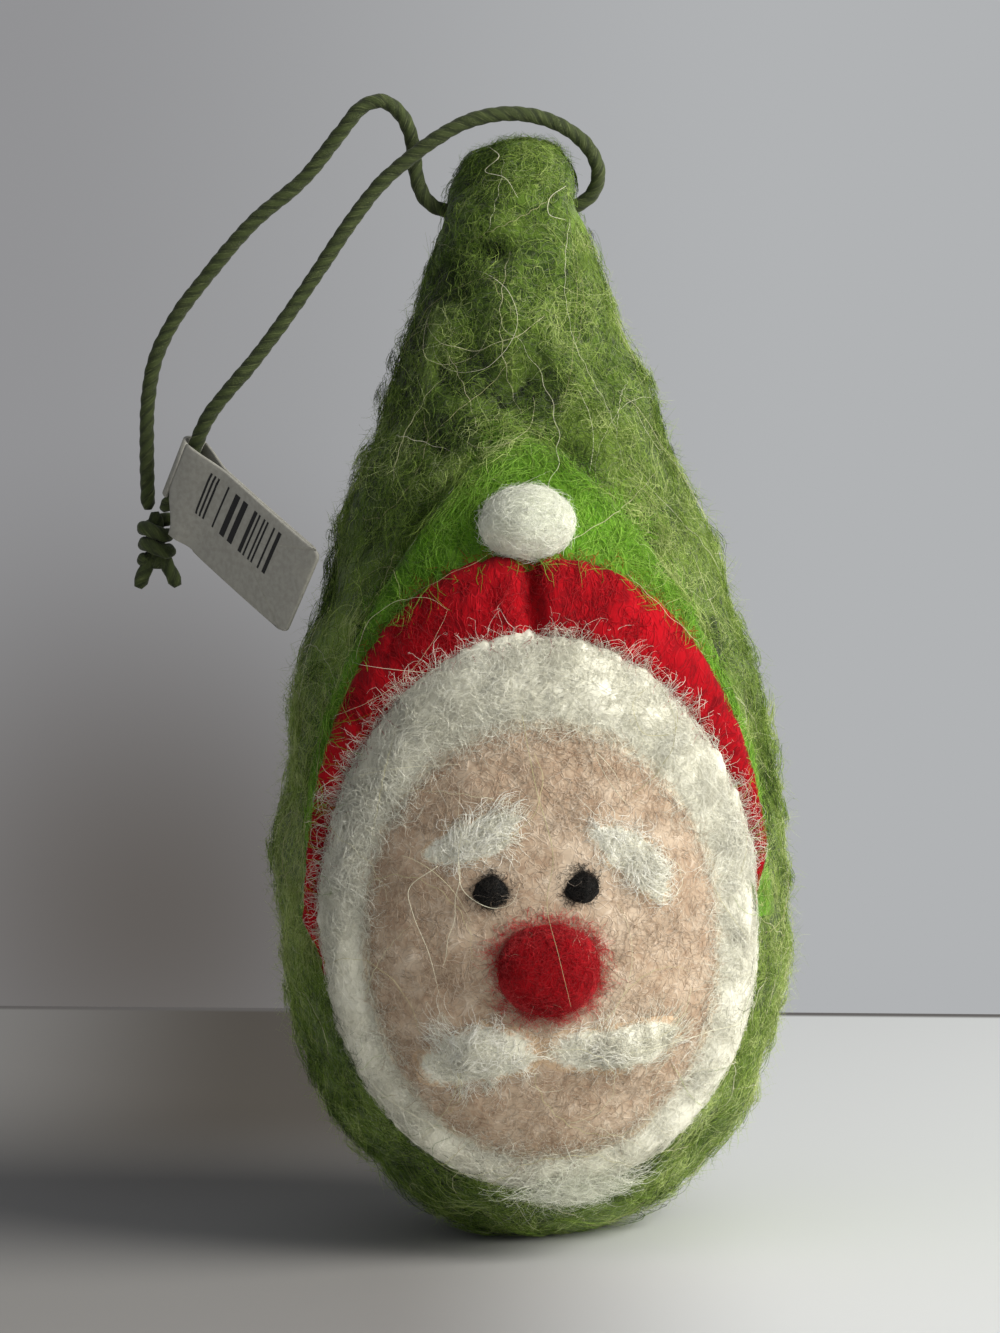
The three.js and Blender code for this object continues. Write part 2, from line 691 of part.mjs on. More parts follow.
addPiece("folded_label", foldedLabel(), labelPaper).applyMatrix4(labelPlacement());

export default ornament;
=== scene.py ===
"""Looks of a needle-felted Christmas ornament: a pear-shaped body of green wool with a bearded face under a
red hat worked onto its front, a knotted cord loop through its tip and a folded paper label on the cord.

Metres, +Z up, the face towards -Y. A place on the body is an angle round it from -Y and a reach along its
profile from the foot; a place on the front is a distance across and up from the middle of the face.
"""
import itertools
import math
from collections import namedtuple

import bpy
import numpy as np
from mathutils import Matrix, Vector


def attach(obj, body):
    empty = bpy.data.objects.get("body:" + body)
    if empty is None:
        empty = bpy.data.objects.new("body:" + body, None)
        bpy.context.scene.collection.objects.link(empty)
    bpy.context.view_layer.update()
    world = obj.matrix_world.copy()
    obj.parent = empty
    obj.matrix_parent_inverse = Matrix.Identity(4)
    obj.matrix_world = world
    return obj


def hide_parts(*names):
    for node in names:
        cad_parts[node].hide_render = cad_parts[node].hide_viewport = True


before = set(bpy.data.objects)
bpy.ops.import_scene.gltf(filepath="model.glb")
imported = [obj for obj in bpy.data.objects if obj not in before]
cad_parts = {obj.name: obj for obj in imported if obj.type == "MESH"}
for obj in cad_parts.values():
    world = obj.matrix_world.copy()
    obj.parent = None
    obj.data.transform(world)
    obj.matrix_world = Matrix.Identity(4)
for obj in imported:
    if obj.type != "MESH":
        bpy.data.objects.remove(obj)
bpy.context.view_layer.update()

ORNAMENT, LOOP, LABEL = "ornament", "loop", "label"

# Body of revolution
BODY_HEIGHT = 0.120
FOOT_RADIUS = 0.007
BELLY_RADIUS = 0.028
BELLY_HEIGHT = 0.034
FLANK_FULLNESS = 0.036
FLANK_SWEEP = 0.026
NECK_RADIUS = 0.008
NECK_DROP = 0.0086
NECK_SLOPE = 0.25
TIP_SHOULDER = 0.005
TIP_FULLNESS = 0.0062
TIP_LEAN = 0.0012
FELT_WALL = 0.004
CLEARANCE = 0.0003

# Lumps and hollows of hand felting: waves round the body and along it, clear of its foot, tip and front
LUMP_HEIGHT = 0.0008
LUMP_WAVES = ((5, 0.021, 3.5), (-4, 0.017, 4.3), (7, 0.026, 2.0))
LUMP_FADE = 0.008
LUMP_FOOT_CLEAR = 0.004
LUMP_TIP_CLEAR = 0.014
LUMP_FRONT_CLEAR = 1.05
LUMP_FRONT_FADE = 0.3
HOLLOW_SIZE = 0.0075
HOLLOW_DEPTH = 0.0005
DEEP_HOLLOWS = (
    (-0.0066, 0.1045, 0.0040), (-0.0050, 0.0935, 0.0044), (0.0029, 0.0922, 0.0042), (-0.0092, 0.0885, 0.0040),
)
FUZZ_ROOM = 0.0004
# Painted shade: how far the body's colour darkens to its rim colour in the pit and in the hollows
PIT_PAINTED_SHADE, HOLLOW_PAINTED_SHADE = 1.4, 0.8

# Finer lumps, each as height, size and seed
BODY_LUMPS = ((0.0003, 0.0040, 1), (0.00016, 0.0015, 3))
EDGE_LUMPS = ((1, 0.16, 8), (0.7, 0.05, 13), (0.5, 0.025, 16))
SWELL_LUMPS = ((1, 0.011, 9), (0.6, 0.0042, 14))
NEEDLE_LUMP_HEIGHT = 0.00022

# Layers on the front, measured from the middle of the face
FACE_HEIGHT = 0.036
Edge = namedtuple("Edge", "half_width rise drop upper_power")
LOWER_POWER = 2.5
FACE_EDGE = Edge(0.0186, 0.0212, 0.0234, 2.0)
RING_EDGE = Edge(0.0254, 0.0303, 0.0275, 2.0)
HAT_EDGE = Edge(0.0273, 0.0385, 0.0275, 2.5)
BAND_EDGE = Edge(0.0318, 0.0515, 0.0275, 1.8)
FACE_CROWN = 0.0027
FACE_RIM_LIFT = 0.0020
RING_CROWN = 0.0028
RING_CREST = 0.45
RING_FOOT = 0.0004
HAT_CROWN = 0.0025
HAT_INNER_LIFT, HAT_OUTER_LIFT = 0.0010, 0.0003
HAT_POWER = 2.2
HAT_END_FADE = math.radians(16)
BAND_CROWN = 0.0010
BAND_INNER_LIFT, BAND_OUTER_LIFT = 0.0009, -0.0002
BAND_POWER = 1.6
BAND_END_FADE = math.radians(40)
LAYER_END = 1.1
FRONT_HALF = 0.06
HAT_ENDS = (math.radians(101), math.radians(89))
BAND_ENDS = (math.radians(92), math.radians(92))
RING_ENDS = (math.pi, math.pi)
DIVE_SLOPE = 0.009
FACE_DIVE_SLOPE = 0.006
CHEEK_ACROSS, CHEEK_DROP = 0.0095, 0.0065
CHEEK_HALF_WIDTH, CHEEK_HALF_HEIGHT = 0.0052, 0.0048
CHEEK_CROWN = 0.00025
CLEFT_HALF_WIDTH = 0.0014
CLEFT_SHARE = 0.7
CLEFT_NOTCH = 0.0011

# Pieces on the face and the hat
Bean = namedtuple("Bean", "across up half_length half_width lean bend crown power fullness", defaults=(1,))
LEFT_BROW = Bean(-0.0064, 0.0097, 0.0052, 0.0024, 24, 0.0006, 0.0011, 2, 0.4)
RIGHT_BROW = Bean(0.0092, 0.0074, 0.0065, 0.0024, -47, -0.0009, 0.0011, 2, 0.4)
LEFT_EYE = Bean(-0.0050, 0.0045, 0.0018, 0.0018, 0, 0, 0.0010, 2)
RIGHT_EYE = Bean(0.0038, 0.0045, 0.0018, 0.0018, 0, 0, 0.0010, 2)
NOSE = Bean(0.0003, -0.0036, 0.0046, 0.0044, 0, 0, 0.0034, 2.6)
LEFT_MOUSTACHE = Bean(-0.0074, -0.0120, 0.0056, 0.0030, 14, -0.0008, 0.0016, 2, 0.5)
RIGHT_MOUSTACHE = Bean(0.0070, -0.0119, 0.0070, 0.0025, 2, 0.0011, 0.0016, 2, 0.5)
POMPOM = Bean(0.0, 0.0419, 0.0045, 0.0036, 0, 0, 0.0050, 2)

# Small pit in the wool below the tip
PIT_PLACE = np.array([-0.0022, -0.0076, 0.1075])
PIT_SIZE = np.array([0.0018, 0.0030, 0.0012])
PIT_DEPTH = 0.0019

# Cord, measured from the middle of the tunnel in the tip
CORD_DIAMETER = 0.0018
TUNNEL = np.array([0.0, 0.0, 0.112])
LEFT_STRAND = [
    (-0.0043, 0, 0), (-0.006, 0, 0), (-0.0079, -0.0001, 0.00048), (-0.0092, -0.0003, 0.0016),
    (-0.00995, -0.0004, 0.0036), (-0.0102, -0.0004, 0.0058), (-0.0104, -0.0006, 0.008),
    (-0.0114, -0.001, 0.0106), (-0.0134, -0.0013, 0.0122), (-0.0156, -0.0012, 0.0117),
    (-0.0181, -0.0007, 0.009), (-0.0223, 0.0003, 0.0042), (-0.0281, 0.0012, -0.0004),
    (-0.0336, 0.0024, -0.0063), (-0.0371, 0.0033, -0.0106), (-0.0394, 0.0043, -0.0148),
    (-0.0405, 0.0054, -0.0195), (-0.0409, 0.0066, -0.025), (-0.0411, 0.0082, -0.0315),
]
RIGHT_STRAND = [
    (0.0043, 0, 0), (0.006, 0, 0), (0.0079, -0.0001, 0.00048), (0.0093, -0.0005, 0.00175),
    (0.0098, -0.0012, 0.0038), (0.0089, -0.002, 0.0062), (0.0067, -0.0028, 0.0083),
    (0.0035, -0.0033, 0.0098), (-0.0003, -0.0036, 0.0103), (-0.0043, -0.0036, 0.0096),
    (-0.0079, -0.0034, 0.0078), (-0.0111, -0.003, 0.0056), (-0.014, -0.0026, 0.0032),
    (-0.0173, -0.0022, -0.0007), (-0.021, -0.0018, -0.0058), (-0.0248, -0.0014, -0.0109),
    (-0.0288, -0.001, -0.0158), (-0.0314, -0.0005, -0.0186), (-0.0338, 0.0005, -0.0215),
    (-0.0359, 0.0027, -0.0258), (-0.037, 0.0039, -0.0284), (-0.0382, 0.0052, -0.0304),
    (-0.0394, 0.0062, -0.0315),
]
LOOP_SWING = (-90, 85)
LOOP_ROOM = 0.0055
LOOP_TOUCH = 0.0014
LOOP_NEAR = 0.025
LOOP_STEP = 0.0005
KNOT_TOP = TUNNEL + (-0.0403, 0.0072, -0.0318)
KNOT_TURNS = 2.6
KNOT_PITCH = 0.00175
KNOT_MEAN_RADIUS = 0.00135
TAIL_LENGTH = 0.0032
TAIL_SPREAD = math.radians(24)

# Label, measured from a place on the right strand that it is folded round
LABEL_PLACE = np.array([-0.035939, 0.002742, 0.086113])
LABEL_HANG = np.array([0.5708, -0.6111, -0.5484])
LABEL_ACROSS = np.array([0.7308, 0.6826, 0.0])
LABEL_UP = np.array([0.3743, -0.4007, 0.8362])
LABEL_SWING = 5
LABEL_LENGTH = 0.0222
LABEL_RISE = 0.0019
LABEL_DROP = 0.0084
LABEL_CORNER = 0.0008
LABEL_BACK_SHIFT = 0.0008
FOLD_LENGTH = 0.0070
FOLD_RADIUS = 0.0012
PAPER = 0.00035
LEAF_GAP = 0.00002
LEAF_OPENING = 0.0060
LEAF_CURL = 0.0009
LEAF_RIPPLE = 0.0002
LEAF_NARROWING = 0.0024

# Camera, from the photograph of 1000 by 1333 pixels
PICTURE = (1000, 1333)
CAMERA_DISTANCE = 0.520
CAMERA_AZIMUTH = math.radians(-1.9)
CAMERA_ELEVATION = math.radians(4)
CAMERA_ROLL = math.radians(2)
CAMERA_TARGET = Vector((0, 0, 0.060))
TARGET_PIXEL = (526, 684)
PIXELS_PER_METRE = 9080
SENSOR = 36

rng = np.random.default_rng(24)


# Colours are written in sRGB, from 0 to 255
def paint(red, green, blue):
    def linear(value):
        value /= 255
        return value / 12.92 if value <= 0.04045 else ((value + 0.055) / 1.055) ** 2.4

    return (linear(red), linear(green), linear(blue), 1.0)


# Smooth noise
def lattice(cells, seed):
    mixed = cells[..., 0] * 374761393 + cells[..., 1] * 668265263 + cells[..., 2] * 1440662683
    mixed = (mixed + seed * 974711) & 0x7FFFFFFF
    mixed = ((mixed ^ (mixed >> 13)) * 1274126177) & 0x7FFFFFFF
    mixed = mixed ^ (mixed >> 16)
    return (mixed & 0xFFFF) / 0xFFFF


def lumps(points, size, seed):
    """Smooth noise from -1 to 1, with lumps of the given size."""
    scaled = np.asarray(points) / size + 1000.5
    base = np.floor(scaled).astype(np.int64)
    part = scaled - base
    part = part * part * (3 - 2 * part)
    total = 0
    for corner in itertools.product((0, 1), repeat=3):
        weight = np.prod(np.where(corner, part, 1 - part), axis=-1)
        total = total + weight * lattice(base + np.array(corner), seed)
    return 2 * total - 1


def layered_lumps(points, layers):
    return sum(height * lumps(points, size, seed) for height, size, seed in layers)


def smooth(low, high, value):
    """A soft step from 0 at low to 1 at high."""
    share = np.clip((value - low) / (high - low), 0, 1)
    return share * share * (3 - 2 * share)


# Profile of the body, as radius and height over the reach from the foot
def bezier(points, steps=160):
    share = np.linspace(0, 1, steps)[:, None]
    a, b, c, d = (np.array(point) for point in points)
    return (
        a * (1 - share) ** 3
        + 3 * b * share * (1 - share) ** 2
        + 3 * c * share**2 * (1 - share)
        + d * share**3
    )


def body_profile():
    neck = BODY_HEIGHT - NECK_DROP
    half_height = BELLY_HEIGHT / math.sqrt(1 - (FOOT_RADIUS / BELLY_RADIUS) ** 2)
    turn = np.linspace(-math.acos(FOOT_RADIUS / BELLY_RADIUS), 0, 160)
    lower = np.column_stack([BELLY_RADIUS * np.cos(turn), BELLY_HEIGHT + half_height * np.sin(turn)])
    flank = bezier([
        (BELLY_RADIUS, BELLY_HEIGHT),
        (BELLY_RADIUS, BELLY_HEIGHT + FLANK_FULLNESS),
        (NECK_RADIUS + NECK_SLOPE * FLANK_SWEEP, neck - FLANK_SWEEP),
        (NECK_RADIUS, neck),
    ])
    tip = bezier([
        (NECK_RADIUS, neck),
        (NECK_RADIUS - NECK_SLOPE * TIP_SHOULDER, neck + TIP_SHOULDER),
        (TIP_FULLNESS, BODY_HEIGHT),
        (0, BODY_HEIGHT),
    ])
    return np.vstack([lower, flank[1:], tip[1:]])


PROFILE = body_profile()
PROFILE_REACH = np.concatenate([[0], np.cumsum(np.linalg.norm(np.diff(PROFILE, axis=0), axis=1))])
BODY_REACH = PROFILE_REACH[-1]
SLOPES = np.gradient(PROFILE, PROFILE_REACH, axis=0)
SLOPES /= np.linalg.norm(SLOPES, axis=1)[:, None]


def radius_at(reach):
    return np.interp(reach, PROFILE_REACH, PROFILE[:, 0])


def height_at(reach):
    return np.interp(reach, PROFILE_REACH, PROFILE[:, 1])


def reach_of(height):
    return np.interp(height, PROFILE[:, 1], PROFILE_REACH)


def over_body(angle, reach, lift):
    """Points lifted along the body's normal."""
    radius = radius_at(reach) + np.interp(reach, PROFILE_REACH, SLOPES[:, 1]) * lift
    height = height_at(reach) - np.interp(reach, PROFILE_REACH, SLOPES[:, 0]) * lift
    lean = TIP_LEAN * smooth(BODY_HEIGHT - NECK_DROP, BODY_HEIGHT, height)
    return np.stack([radius * np.sin(angle) + lean, -radius * np.cos(angle), height], axis=-1)


def over_front(across, up, lift):
    return over_body(across / BELLY_RADIUS, reach_of(FACE_HEIGHT + up), lift)


def front_of(angle, reach):
    """Across and up on the front, for places on the body."""
    wrapped = (angle + math.pi) % (2 * math.pi) - math.pi
    return wrapped * BELLY_RADIUS, height_at(reach) - FACE_HEIGHT


# Relief of the layers over the body
def share_of(edge, across, up):
    """How far out a place lies: 1 on the edge."""
    power = np.where(up > 0, edge.upper_power, LOWER_POWER)
    reach = np.where(up > 0, edge.rise, edge.drop)
    return (np.abs(across / edge.half_width) ** power + np.abs(up / reach) ** power) ** (1 / power)


def edge_radius(edge, direction):
    return 1 / share_of(edge, np.sin(direction), np.cos(direction))


def cleft_at(across):
    return np.exp(-((across / CLEFT_HALF_WIDTH) ** 2))


def strip_share(inner, outer, across, up):
    """Place across a strip between two edges, 0 at the inner one and 1 at the outer one."""
    near = share_of(inner, across, up)
    far = share_of(outer, across, up)
    return far * (near - 1) / np.maximum(near - far, 1e-6)


def dive(share):
    """How far a strip goes under its neighbours past its two edges."""
    return DIVE_SLOPE * (np.maximum(0, -share) + np.maximum(0, share - 1))


def puff(share, inner_end, outer_end, crown, power):
    """Height across a puffed strip."""
    inside = np.clip(share, 0, 1)
    ends = inner_end + (outer_end - inner_end) * inside
    bulge = (1 - np.abs(2 * inside - 1) ** power) ** (1 / power)
    return ends + (crown - ends) * bulge - dive(share)


def ends_fade(across, up, ends, over):
    direction = np.arctan2(across, up)
    end = np.where(direction < 0, *ends)
    return smooth(end, end - over, np.abs(direction))


def face_lift(across, up):
    share = share_of(FACE_EDGE, across, up)
    dome = np.sqrt(np.maximum(1 - share**2, 0))
    lower = ((up + CHEEK_DROP) / CHEEK_HALF_HEIGHT) ** 2
    cheeks = sum(
        np.exp(-(((across - side * CHEEK_ACROSS) / CHEEK_HALF_WIDTH) ** 2) - lower) for side in (-1, 1)
    )
    rounded = FACE_RIM_LIFT + (FACE_CROWN - FACE_RIM_LIFT) * dome + CHEEK_CROWN * cheeks
    return rounded - FACE_DIVE_SLOPE * np.maximum(share - 1, 0)


def ring_lift(across, up):
    share = strip_share(FACE_EDGE, RING_EDGE, across, up)
    rise = FACE_RIM_LIFT - CLEARANCE + (RING_CROWN - FACE_RIM_LIFT) * smooth(0, RING_CREST, share)
    fall = (1 - np.clip((share - RING_CREST) / (1 - RING_CREST), 0, 1) ** 2) ** 0.75
    foot = RING_FOOT + HAT_INNER_LIFT * ends_fade(across, up, HAT_ENDS, HAT_END_FADE)
    return CLEARANCE + foot + (rise - foot) * fall - dive(share)


def hat_lift(across, up):
    share = strip_share(RING_EDGE, HAT_EDGE, across, up)
    crown = HAT_CROWN * (1 - CLEFT_SHARE * cleft_at(across))
    lift = puff(share, HAT_INNER_LIFT, HAT_OUTER_LIFT, crown, HAT_POWER)
    return CLEARANCE + lift * ends_fade(across, up, HAT_ENDS, HAT_END_FADE)


def band_lift(across, up):
    share = strip_share(HAT_EDGE, BAND_EDGE, across, up)
    lift = puff(share, BAND_INNER_LIFT, BAND_OUTER_LIFT, BAND_CROWN, BAND_POWER)
    return CLEARANCE * 0.5 + lift * ends_fade(across, up, BAND_ENDS, BAND_END_FADE)


def bean_share(bean, across, up):
    lean = math.radians(bean.lean)
    along = ((across - bean.across) * math.cos(lean) + (up - bean.up) * math.sin(lean)) / bean.half_length
    aside = (up - bean.up) * math.cos(lean) - (across - bean.across) * math.sin(lean)
    aside = (aside - bean.bend * np.clip(along, -1, 1) ** 2) / bean.half_width
    return (np.abs(along) ** bean.power + np.abs(aside) ** bean.power) ** (1 / bean.power)


LAYERS = ((FACE_EDGE, face_lift), (RING_EDGE, ring_lift), (HAT_EDGE, hat_lift), (BAND_EDGE, band_lift))
FACE_BEANS = (LEFT_BROW, RIGHT_BROW, LEFT_EYE, RIGHT_EYE, NOSE, LEFT_MOUSTACHE, RIGHT_MOUSTACHE)


def bean_height(bean, share):
    """Height of a bean over what it is worked onto."""
    return bean.fullness * bean.crown * np.maximum(1 - share**2, 0) ** 1.2


def ball_height(bean, spread):
    return bean.crown * np.maximum(1 - np.minimum(spread, 1) ** 2.3, 0) ** 0.55


def relief(across, up):
    """Height of the worked front over the plain body."""
    lift = np.zeros_like(across)
    for edge, lift_at in LAYERS:
        layer = np.where(share_of(edge, across, up) < LAYER_END, lift_at(across, up), 0)
        lift = np.maximum(lift, layer)
    for bean in FACE_BEANS:
        height_of = ball_height if bean is NOSE else bean_height
        lift = lift + height_of(bean, np.minimum(bean_share(bean, across, up), 1))
    return lift


def surface_lift(angle, reach):
    across, up = front_of(angle, reach)
    front = np.abs(across) < FRONT_HALF
    return np.where(front, relief(across, up), 0.0)


def broad_lumps(base):
    angle = np.arctan2(base[..., 0], -base[..., 1])
    height = base[..., 2]
    waves = [
        np.sin(around * angle + 2 * math.pi * height / pitch + phase) for around, pitch, phase in LUMP_WAVES
    ]
    front = share_of(BAND_EDGE, angle * BELLY_RADIUS, height - FACE_HEIGHT)
    fade = np.minimum.reduce([
        smooth(0, 1, (height - LUMP_FOOT_CLEAR) / LUMP_FADE),
        smooth(0, 1, (BODY_HEIGHT - LUMP_TIP_CLEAR - height) / LUMP_FADE),
        smooth(0, 1, (front - LUMP_FRONT_CLEAR) / LUMP_FRONT_FADE),
    ])
    return LUMP_HEIGHT * fade * sum(waves) / len(waves)


def hollow_at(points):
    """Hollows between the tufts of wool, from 0 to 1: small ones all over and a few deep ones in front."""
    hollow = smooth(0.05, 0.7, -lumps(points, HOLLOW_SIZE, 2))
    for x, z, size in DEEP_HOLLOWS:
        away = np.hypot(points[..., 0] - x, points[..., 2] - z) * (1 + 0.7 * lumps(points, 0.0032, 15))
        hollow = np.maximum(hollow, smooth(1.15, 0.35, away / size) * (points[..., 1] < 0))
    return hollow


def body_lumps(base):
    """Unevenness of the hand-felted body."""
    lift = broad_lumps(base) + layered_lumps(base, BODY_LUMPS) - FUZZ_ROOM
    return lift - HOLLOW_DEPTH * hollow_at(base) - PIT_DEPTH * pit_at(base)


def pit_at(points):
    away = np.linalg.norm((points - PIT_PLACE) / PIT_SIZE, axis=-1)
    return np.exp(-(away**2))


# Meshes
def build(name, points, faces, looks, attributes=None, slots=None):
    """A smooth mesh object from points and arrays of faces, turned outwards."""
    points = np.asarray(points, float).reshape(-1, 3)
    first = np.concatenate([f[:, :1].repeat(f.shape[1] - 2, 1).ravel() for f in faces])
    second = np.concatenate([f[:, 1:-1].ravel() for f in faces])
    third = np.concatenate([f[:, 2:].ravel() for f in faces])
    volume = np.einsum("ij,ij->", points[first], np.cross(points[second], points[third]))
    if volume < 0:
        faces = [f[:, ::-1] for f in faces]
    sizes = np.concatenate([np.full(len(f), f.shape[1]) for f in faces])
    corners = np.concatenate([f.ravel() for f in faces]).astype(np.int32)
    starts = np.concatenate([[0], np.cumsum(sizes)[:-1]]).astype(np.int32)
    mesh = bpy.data.meshes.new(name)
    mesh.vertices.add(len(points))
    mesh.vertices.foreach_set("co", points.astype(np.float32).ravel())
    mesh.loops.add(len(corners))
    mesh.loops.foreach_set("vertex_index", corners)
    mesh.polygons.add(len(sizes))
    mesh.polygons.foreach_set("loop_start", starts)
    mesh.polygons.foreach_set("use_smooth", np.ones(len(sizes), bool))
    if slots is not None:
        mesh.polygons.foreach_set("material_index", slots.astype(np.int32))
    for key, values in (attributes or {}).items():
        kind = "FLOAT_VECTOR" if values.ndim > 1 else "FLOAT"
        field = "vector" if values.ndim > 1 else "value"
        made = mesh.attributes.new(key, kind, "POINT")
        made.data.foreach_set(field, values.astype(np.float32).ravel())
    mesh.update(calc_edges=True)
    for look in looks:
        mesh.materials.append(look)
    made = bpy.data.objects.new(name, mesh)
    bpy.context.scene.collection.objects.link(made)
    return made


def skin(rows, columns, closed):
    """Quads over rows of closed loops; closed joins the last row to the first, or two points cap the ends."""
    spans = rows if closed else rows - 1
    row, column = np.meshgrid(np.arange(spans), np.arange(columns), indexing="ij")
    next_row = (row + 1) % rows
    next_column = (column + 1) % columns
    quads = np.stack([
        row * columns + column,
        next_row * columns + column,
        next_row * columns + next_column,
        row * columns + next_column,
    ], axis=-1).reshape(-1, 4)
    if closed:
        return [quads]
    start = np.arange(columns)
    after = (start + 1) % columns
    first, last = rows * columns, rows * columns + 1
    end = (rows - 1) * columns
    caps = np.concatenate([
        np.column_stack([np.full(columns, first), start, after]),
        np.column_stack([np.full(columns, last), end + after, end + start]),
    ])
    return [quads, caps]


def put(piece, body, slot, *nodes):
    """A piece rides on its body and stands for its nodes, which it hides; slot is not used."""
    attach(piece, body)
    if nodes:
        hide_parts(*nodes)
    return piece


# Materials
class Nodes:
    """A node tree that is built one node at a time."""

    def __init__(self, tree):
        self.tree = tree

    def node(self, kind, inputs=(), **settings):
        made = self.tree.nodes.new(kind)
        for key, value in settings.items():
            setattr(made, key, value)
        for key, value in dict(inputs).items():
            self.feed(made.inputs[key], value)
        return made

    def feed(self, socket, value):
        if isinstance(value, bpy.types.NodeSocket):
            self.tree.links.new(value, socket)
        else:
            socket.default_value = value

    def attribute(self, name, output="Fac"):
        return self.node("ShaderNodeAttribute", attribute_name=name).outputs[output]

    def place(self):
        return self.node("ShaderNodeTexCoord").outputs["Object"]

    def math(self, operation, first, second=0.0):
        return self.node("ShaderNodeMath", {0: first, 1: second}, operation=operation).outputs[0]

    def stretch(self, vector, scale, shift=(0, 0, 0)):
        inputs = {"Vector": vector, "Scale": scale, "Location": shift}
        return self.node("ShaderNodeMapping", inputs).outputs[0]

    def noise(self, vector, size, detail=2.0, roughness=0.55, distortion=0.0):
        inputs = {"Vector": vector, "Scale": 1 / size, "Detail": detail, "Roughness": roughness}
        inputs["Distortion"] = distortion
        return self.node("ShaderNodeTexNoise", inputs).outputs[0]

    def span(self, value, low, high, start=0.0, end=1.0):
        inputs = {0: value, 1: low, 2: high, 3: start, 4: end}
        return self.node("ShaderNodeMapRange", inputs, interpolation_type="SMOOTHSTEP").outputs[0]

    def mix(self, share, first, second):
        made = self.node("ShaderNodeMix", data_type="RGBA")
        for socket, value in zip((made.inputs[0], made.inputs[6], made.inputs[7]), (share, first, second)):
            self.feed(socket, value)
        return made.outputs[2]


class Shader(Nodes):
    """A material with a Principled surface."""

    def __init__(self, name, roughness=0.95, specular=0.15, sheen=0.0):
        self.material = bpy.data.materials.new(name)
        self.material.use_nodes = True
        super().__init__(self.material.node_tree)
        self.surface = self.tree.nodes["Principled BSDF"]
        self.surface.inputs["Roughness"].default_value = roughness
        self.surface.inputs["Specular IOR Level"].default_value = specular
        self.surface.inputs["Sheen Weight"].default_value = sheen
        self.surface.inputs["Sheen Roughness"].default_value = 0.5

    def lines(self, vector, size, width):
        """Thin curly lines, where a smooth noise crosses its middle."""
        field = self.noise(vector, size, detail=1.0, distortion=0.8)
        away = self.math("ABSOLUTE", self.math("SUBTRACT", field, 0.5))
        return self.span(away, 0.0, width, 1.0, 0.0)

    def finish(self, colour, height, depth):
        self.feed(self.surface.inputs["Base Color"], colour)
        bump = self.node("ShaderNodeBump", {"Height": height, "Distance": depth, "Strength": 1.0})
        self.feed(self.surface.inputs["Normal"], bump.outputs[0])
        return self.material


def felt(name, colours, rim=None, stretch=(1, 1, 1), depth=0.00022, sheen=0.25, patch=0.009):
    """Matted wool: clouded colour, a tangle of fine lines, and a rim colour: a neighbour's colour that its
    edges fray into, and on the body the painted shade of its hollows and pit.
    """
    dark, middle, light, fibre = (paint(*colour) for colour in colours)
    shader = Shader(name, sheen=sheen)
    place = shader.stretch(shader.attribute("flow", "Vector"), stretch)
    clouds = shader.noise(place, patch, detail=2.0)
    grain_and_gap_shade = shader.noise(place, 0.0011, detail=3.0, roughness=0.7, distortion=0.7)
    # Random tone in the wool that is darkest where the bump is lowest: partly painted shade in the gaps
    # between fibres
    colour = shader.mix(shader.span(grain_and_gap_shade, 0.36, 0.62), dark, middle)
    colour = shader.mix(shader.span(clouds, 0.45, 0.72), colour, light)
    tangle = shader.lines(place, 0.0021, 0.020)
    for index, size in enumerate((0.0027, 0.0015)):
        moved = shader.stretch(place, (1, 1, 1), (0.31 + index, 0.17, 0.53))
        tangle = shader.math("MAXIMUM", tangle, shader.lines(moved, size, 0.018))
    faint = shader.math("MULTIPLY", tangle, shader.span(shader.noise(place, 0.004), 0.3, 0.7, 0.15, 0.75))
    colour = shader.mix(faint, colour, fibre)
    if rim:
        fray = shader.math("ADD", shader.attribute("rim"), shader.math("MULTIPLY", grain_and_gap_shade, 0.9))
        colour = shader.mix(shader.span(fray, 1.05, 1.35), colour, paint(*rim))
    height = shader.math("ADD", shader.math("MULTIPLY", grain_and_gap_shade, 1.3), shader.math("MULTIPLY", tangle, 0.55))
    return shader.finish(colour, height, depth)


def plain(name, colour):
    """One shade of loose fibre."""
    shader = Shader(name, roughness=0.95, specular=0.1, sheen=0.08)
    shader.surface.inputs["Base Color"].default_value = colour
    return shader.material


# Olive felt, whose rim colour is the painted shade in the body's hollows and pit
OLIVE = felt(
    "olive_felt", ((38, 56, 16), (84, 110, 36), (118, 146, 56), (152, 172, 90)), (20, 28, 9), patch=0.012,
)
BRIGHT = felt(
    "bright_green_felt", ((66, 108, 20), (96, 146, 34), (116, 163, 46), (144, 186, 72)), (92, 122, 42),
    depth=0.00016, sheen=0.12,
)
RED = felt(
    "red_felt", ((116, 1, 12), (160, 3, 18), (176, 6, 23), (186, 20, 34)), (222, 186, 178),
    stretch=(1, 1, 0.55), depth=0.00014, sheen=0.02,
)
NOSE_RED = felt(
    "nose_red_felt", ((108, 1, 8), (150, 3, 16), (166, 6, 20), (178, 22, 32)), (160, 16, 26),
    depth=0.00016, sheen=0.04,
)
WHITE = felt(
    "white_felt", ((207, 205, 191), (221, 219, 205), (227, 225, 211), (238, 236, 225)), (206, 190, 166),
    stretch=(0.3, 0.3, 1), depth=0.00006, sheen=0.1,
)
TUFT = felt(
    "white_tuft_felt", ((208, 206, 189), (226, 224, 208), (236, 234, 221), (244, 242, 232)), (198, 172, 144),
    depth=0.00010, sheen=0.1,
)
BALL = felt(
    "pompom_felt", ((224, 227, 208), (244, 246, 231), (249, 250, 240), (252, 252, 246)), depth=0.00010,
)
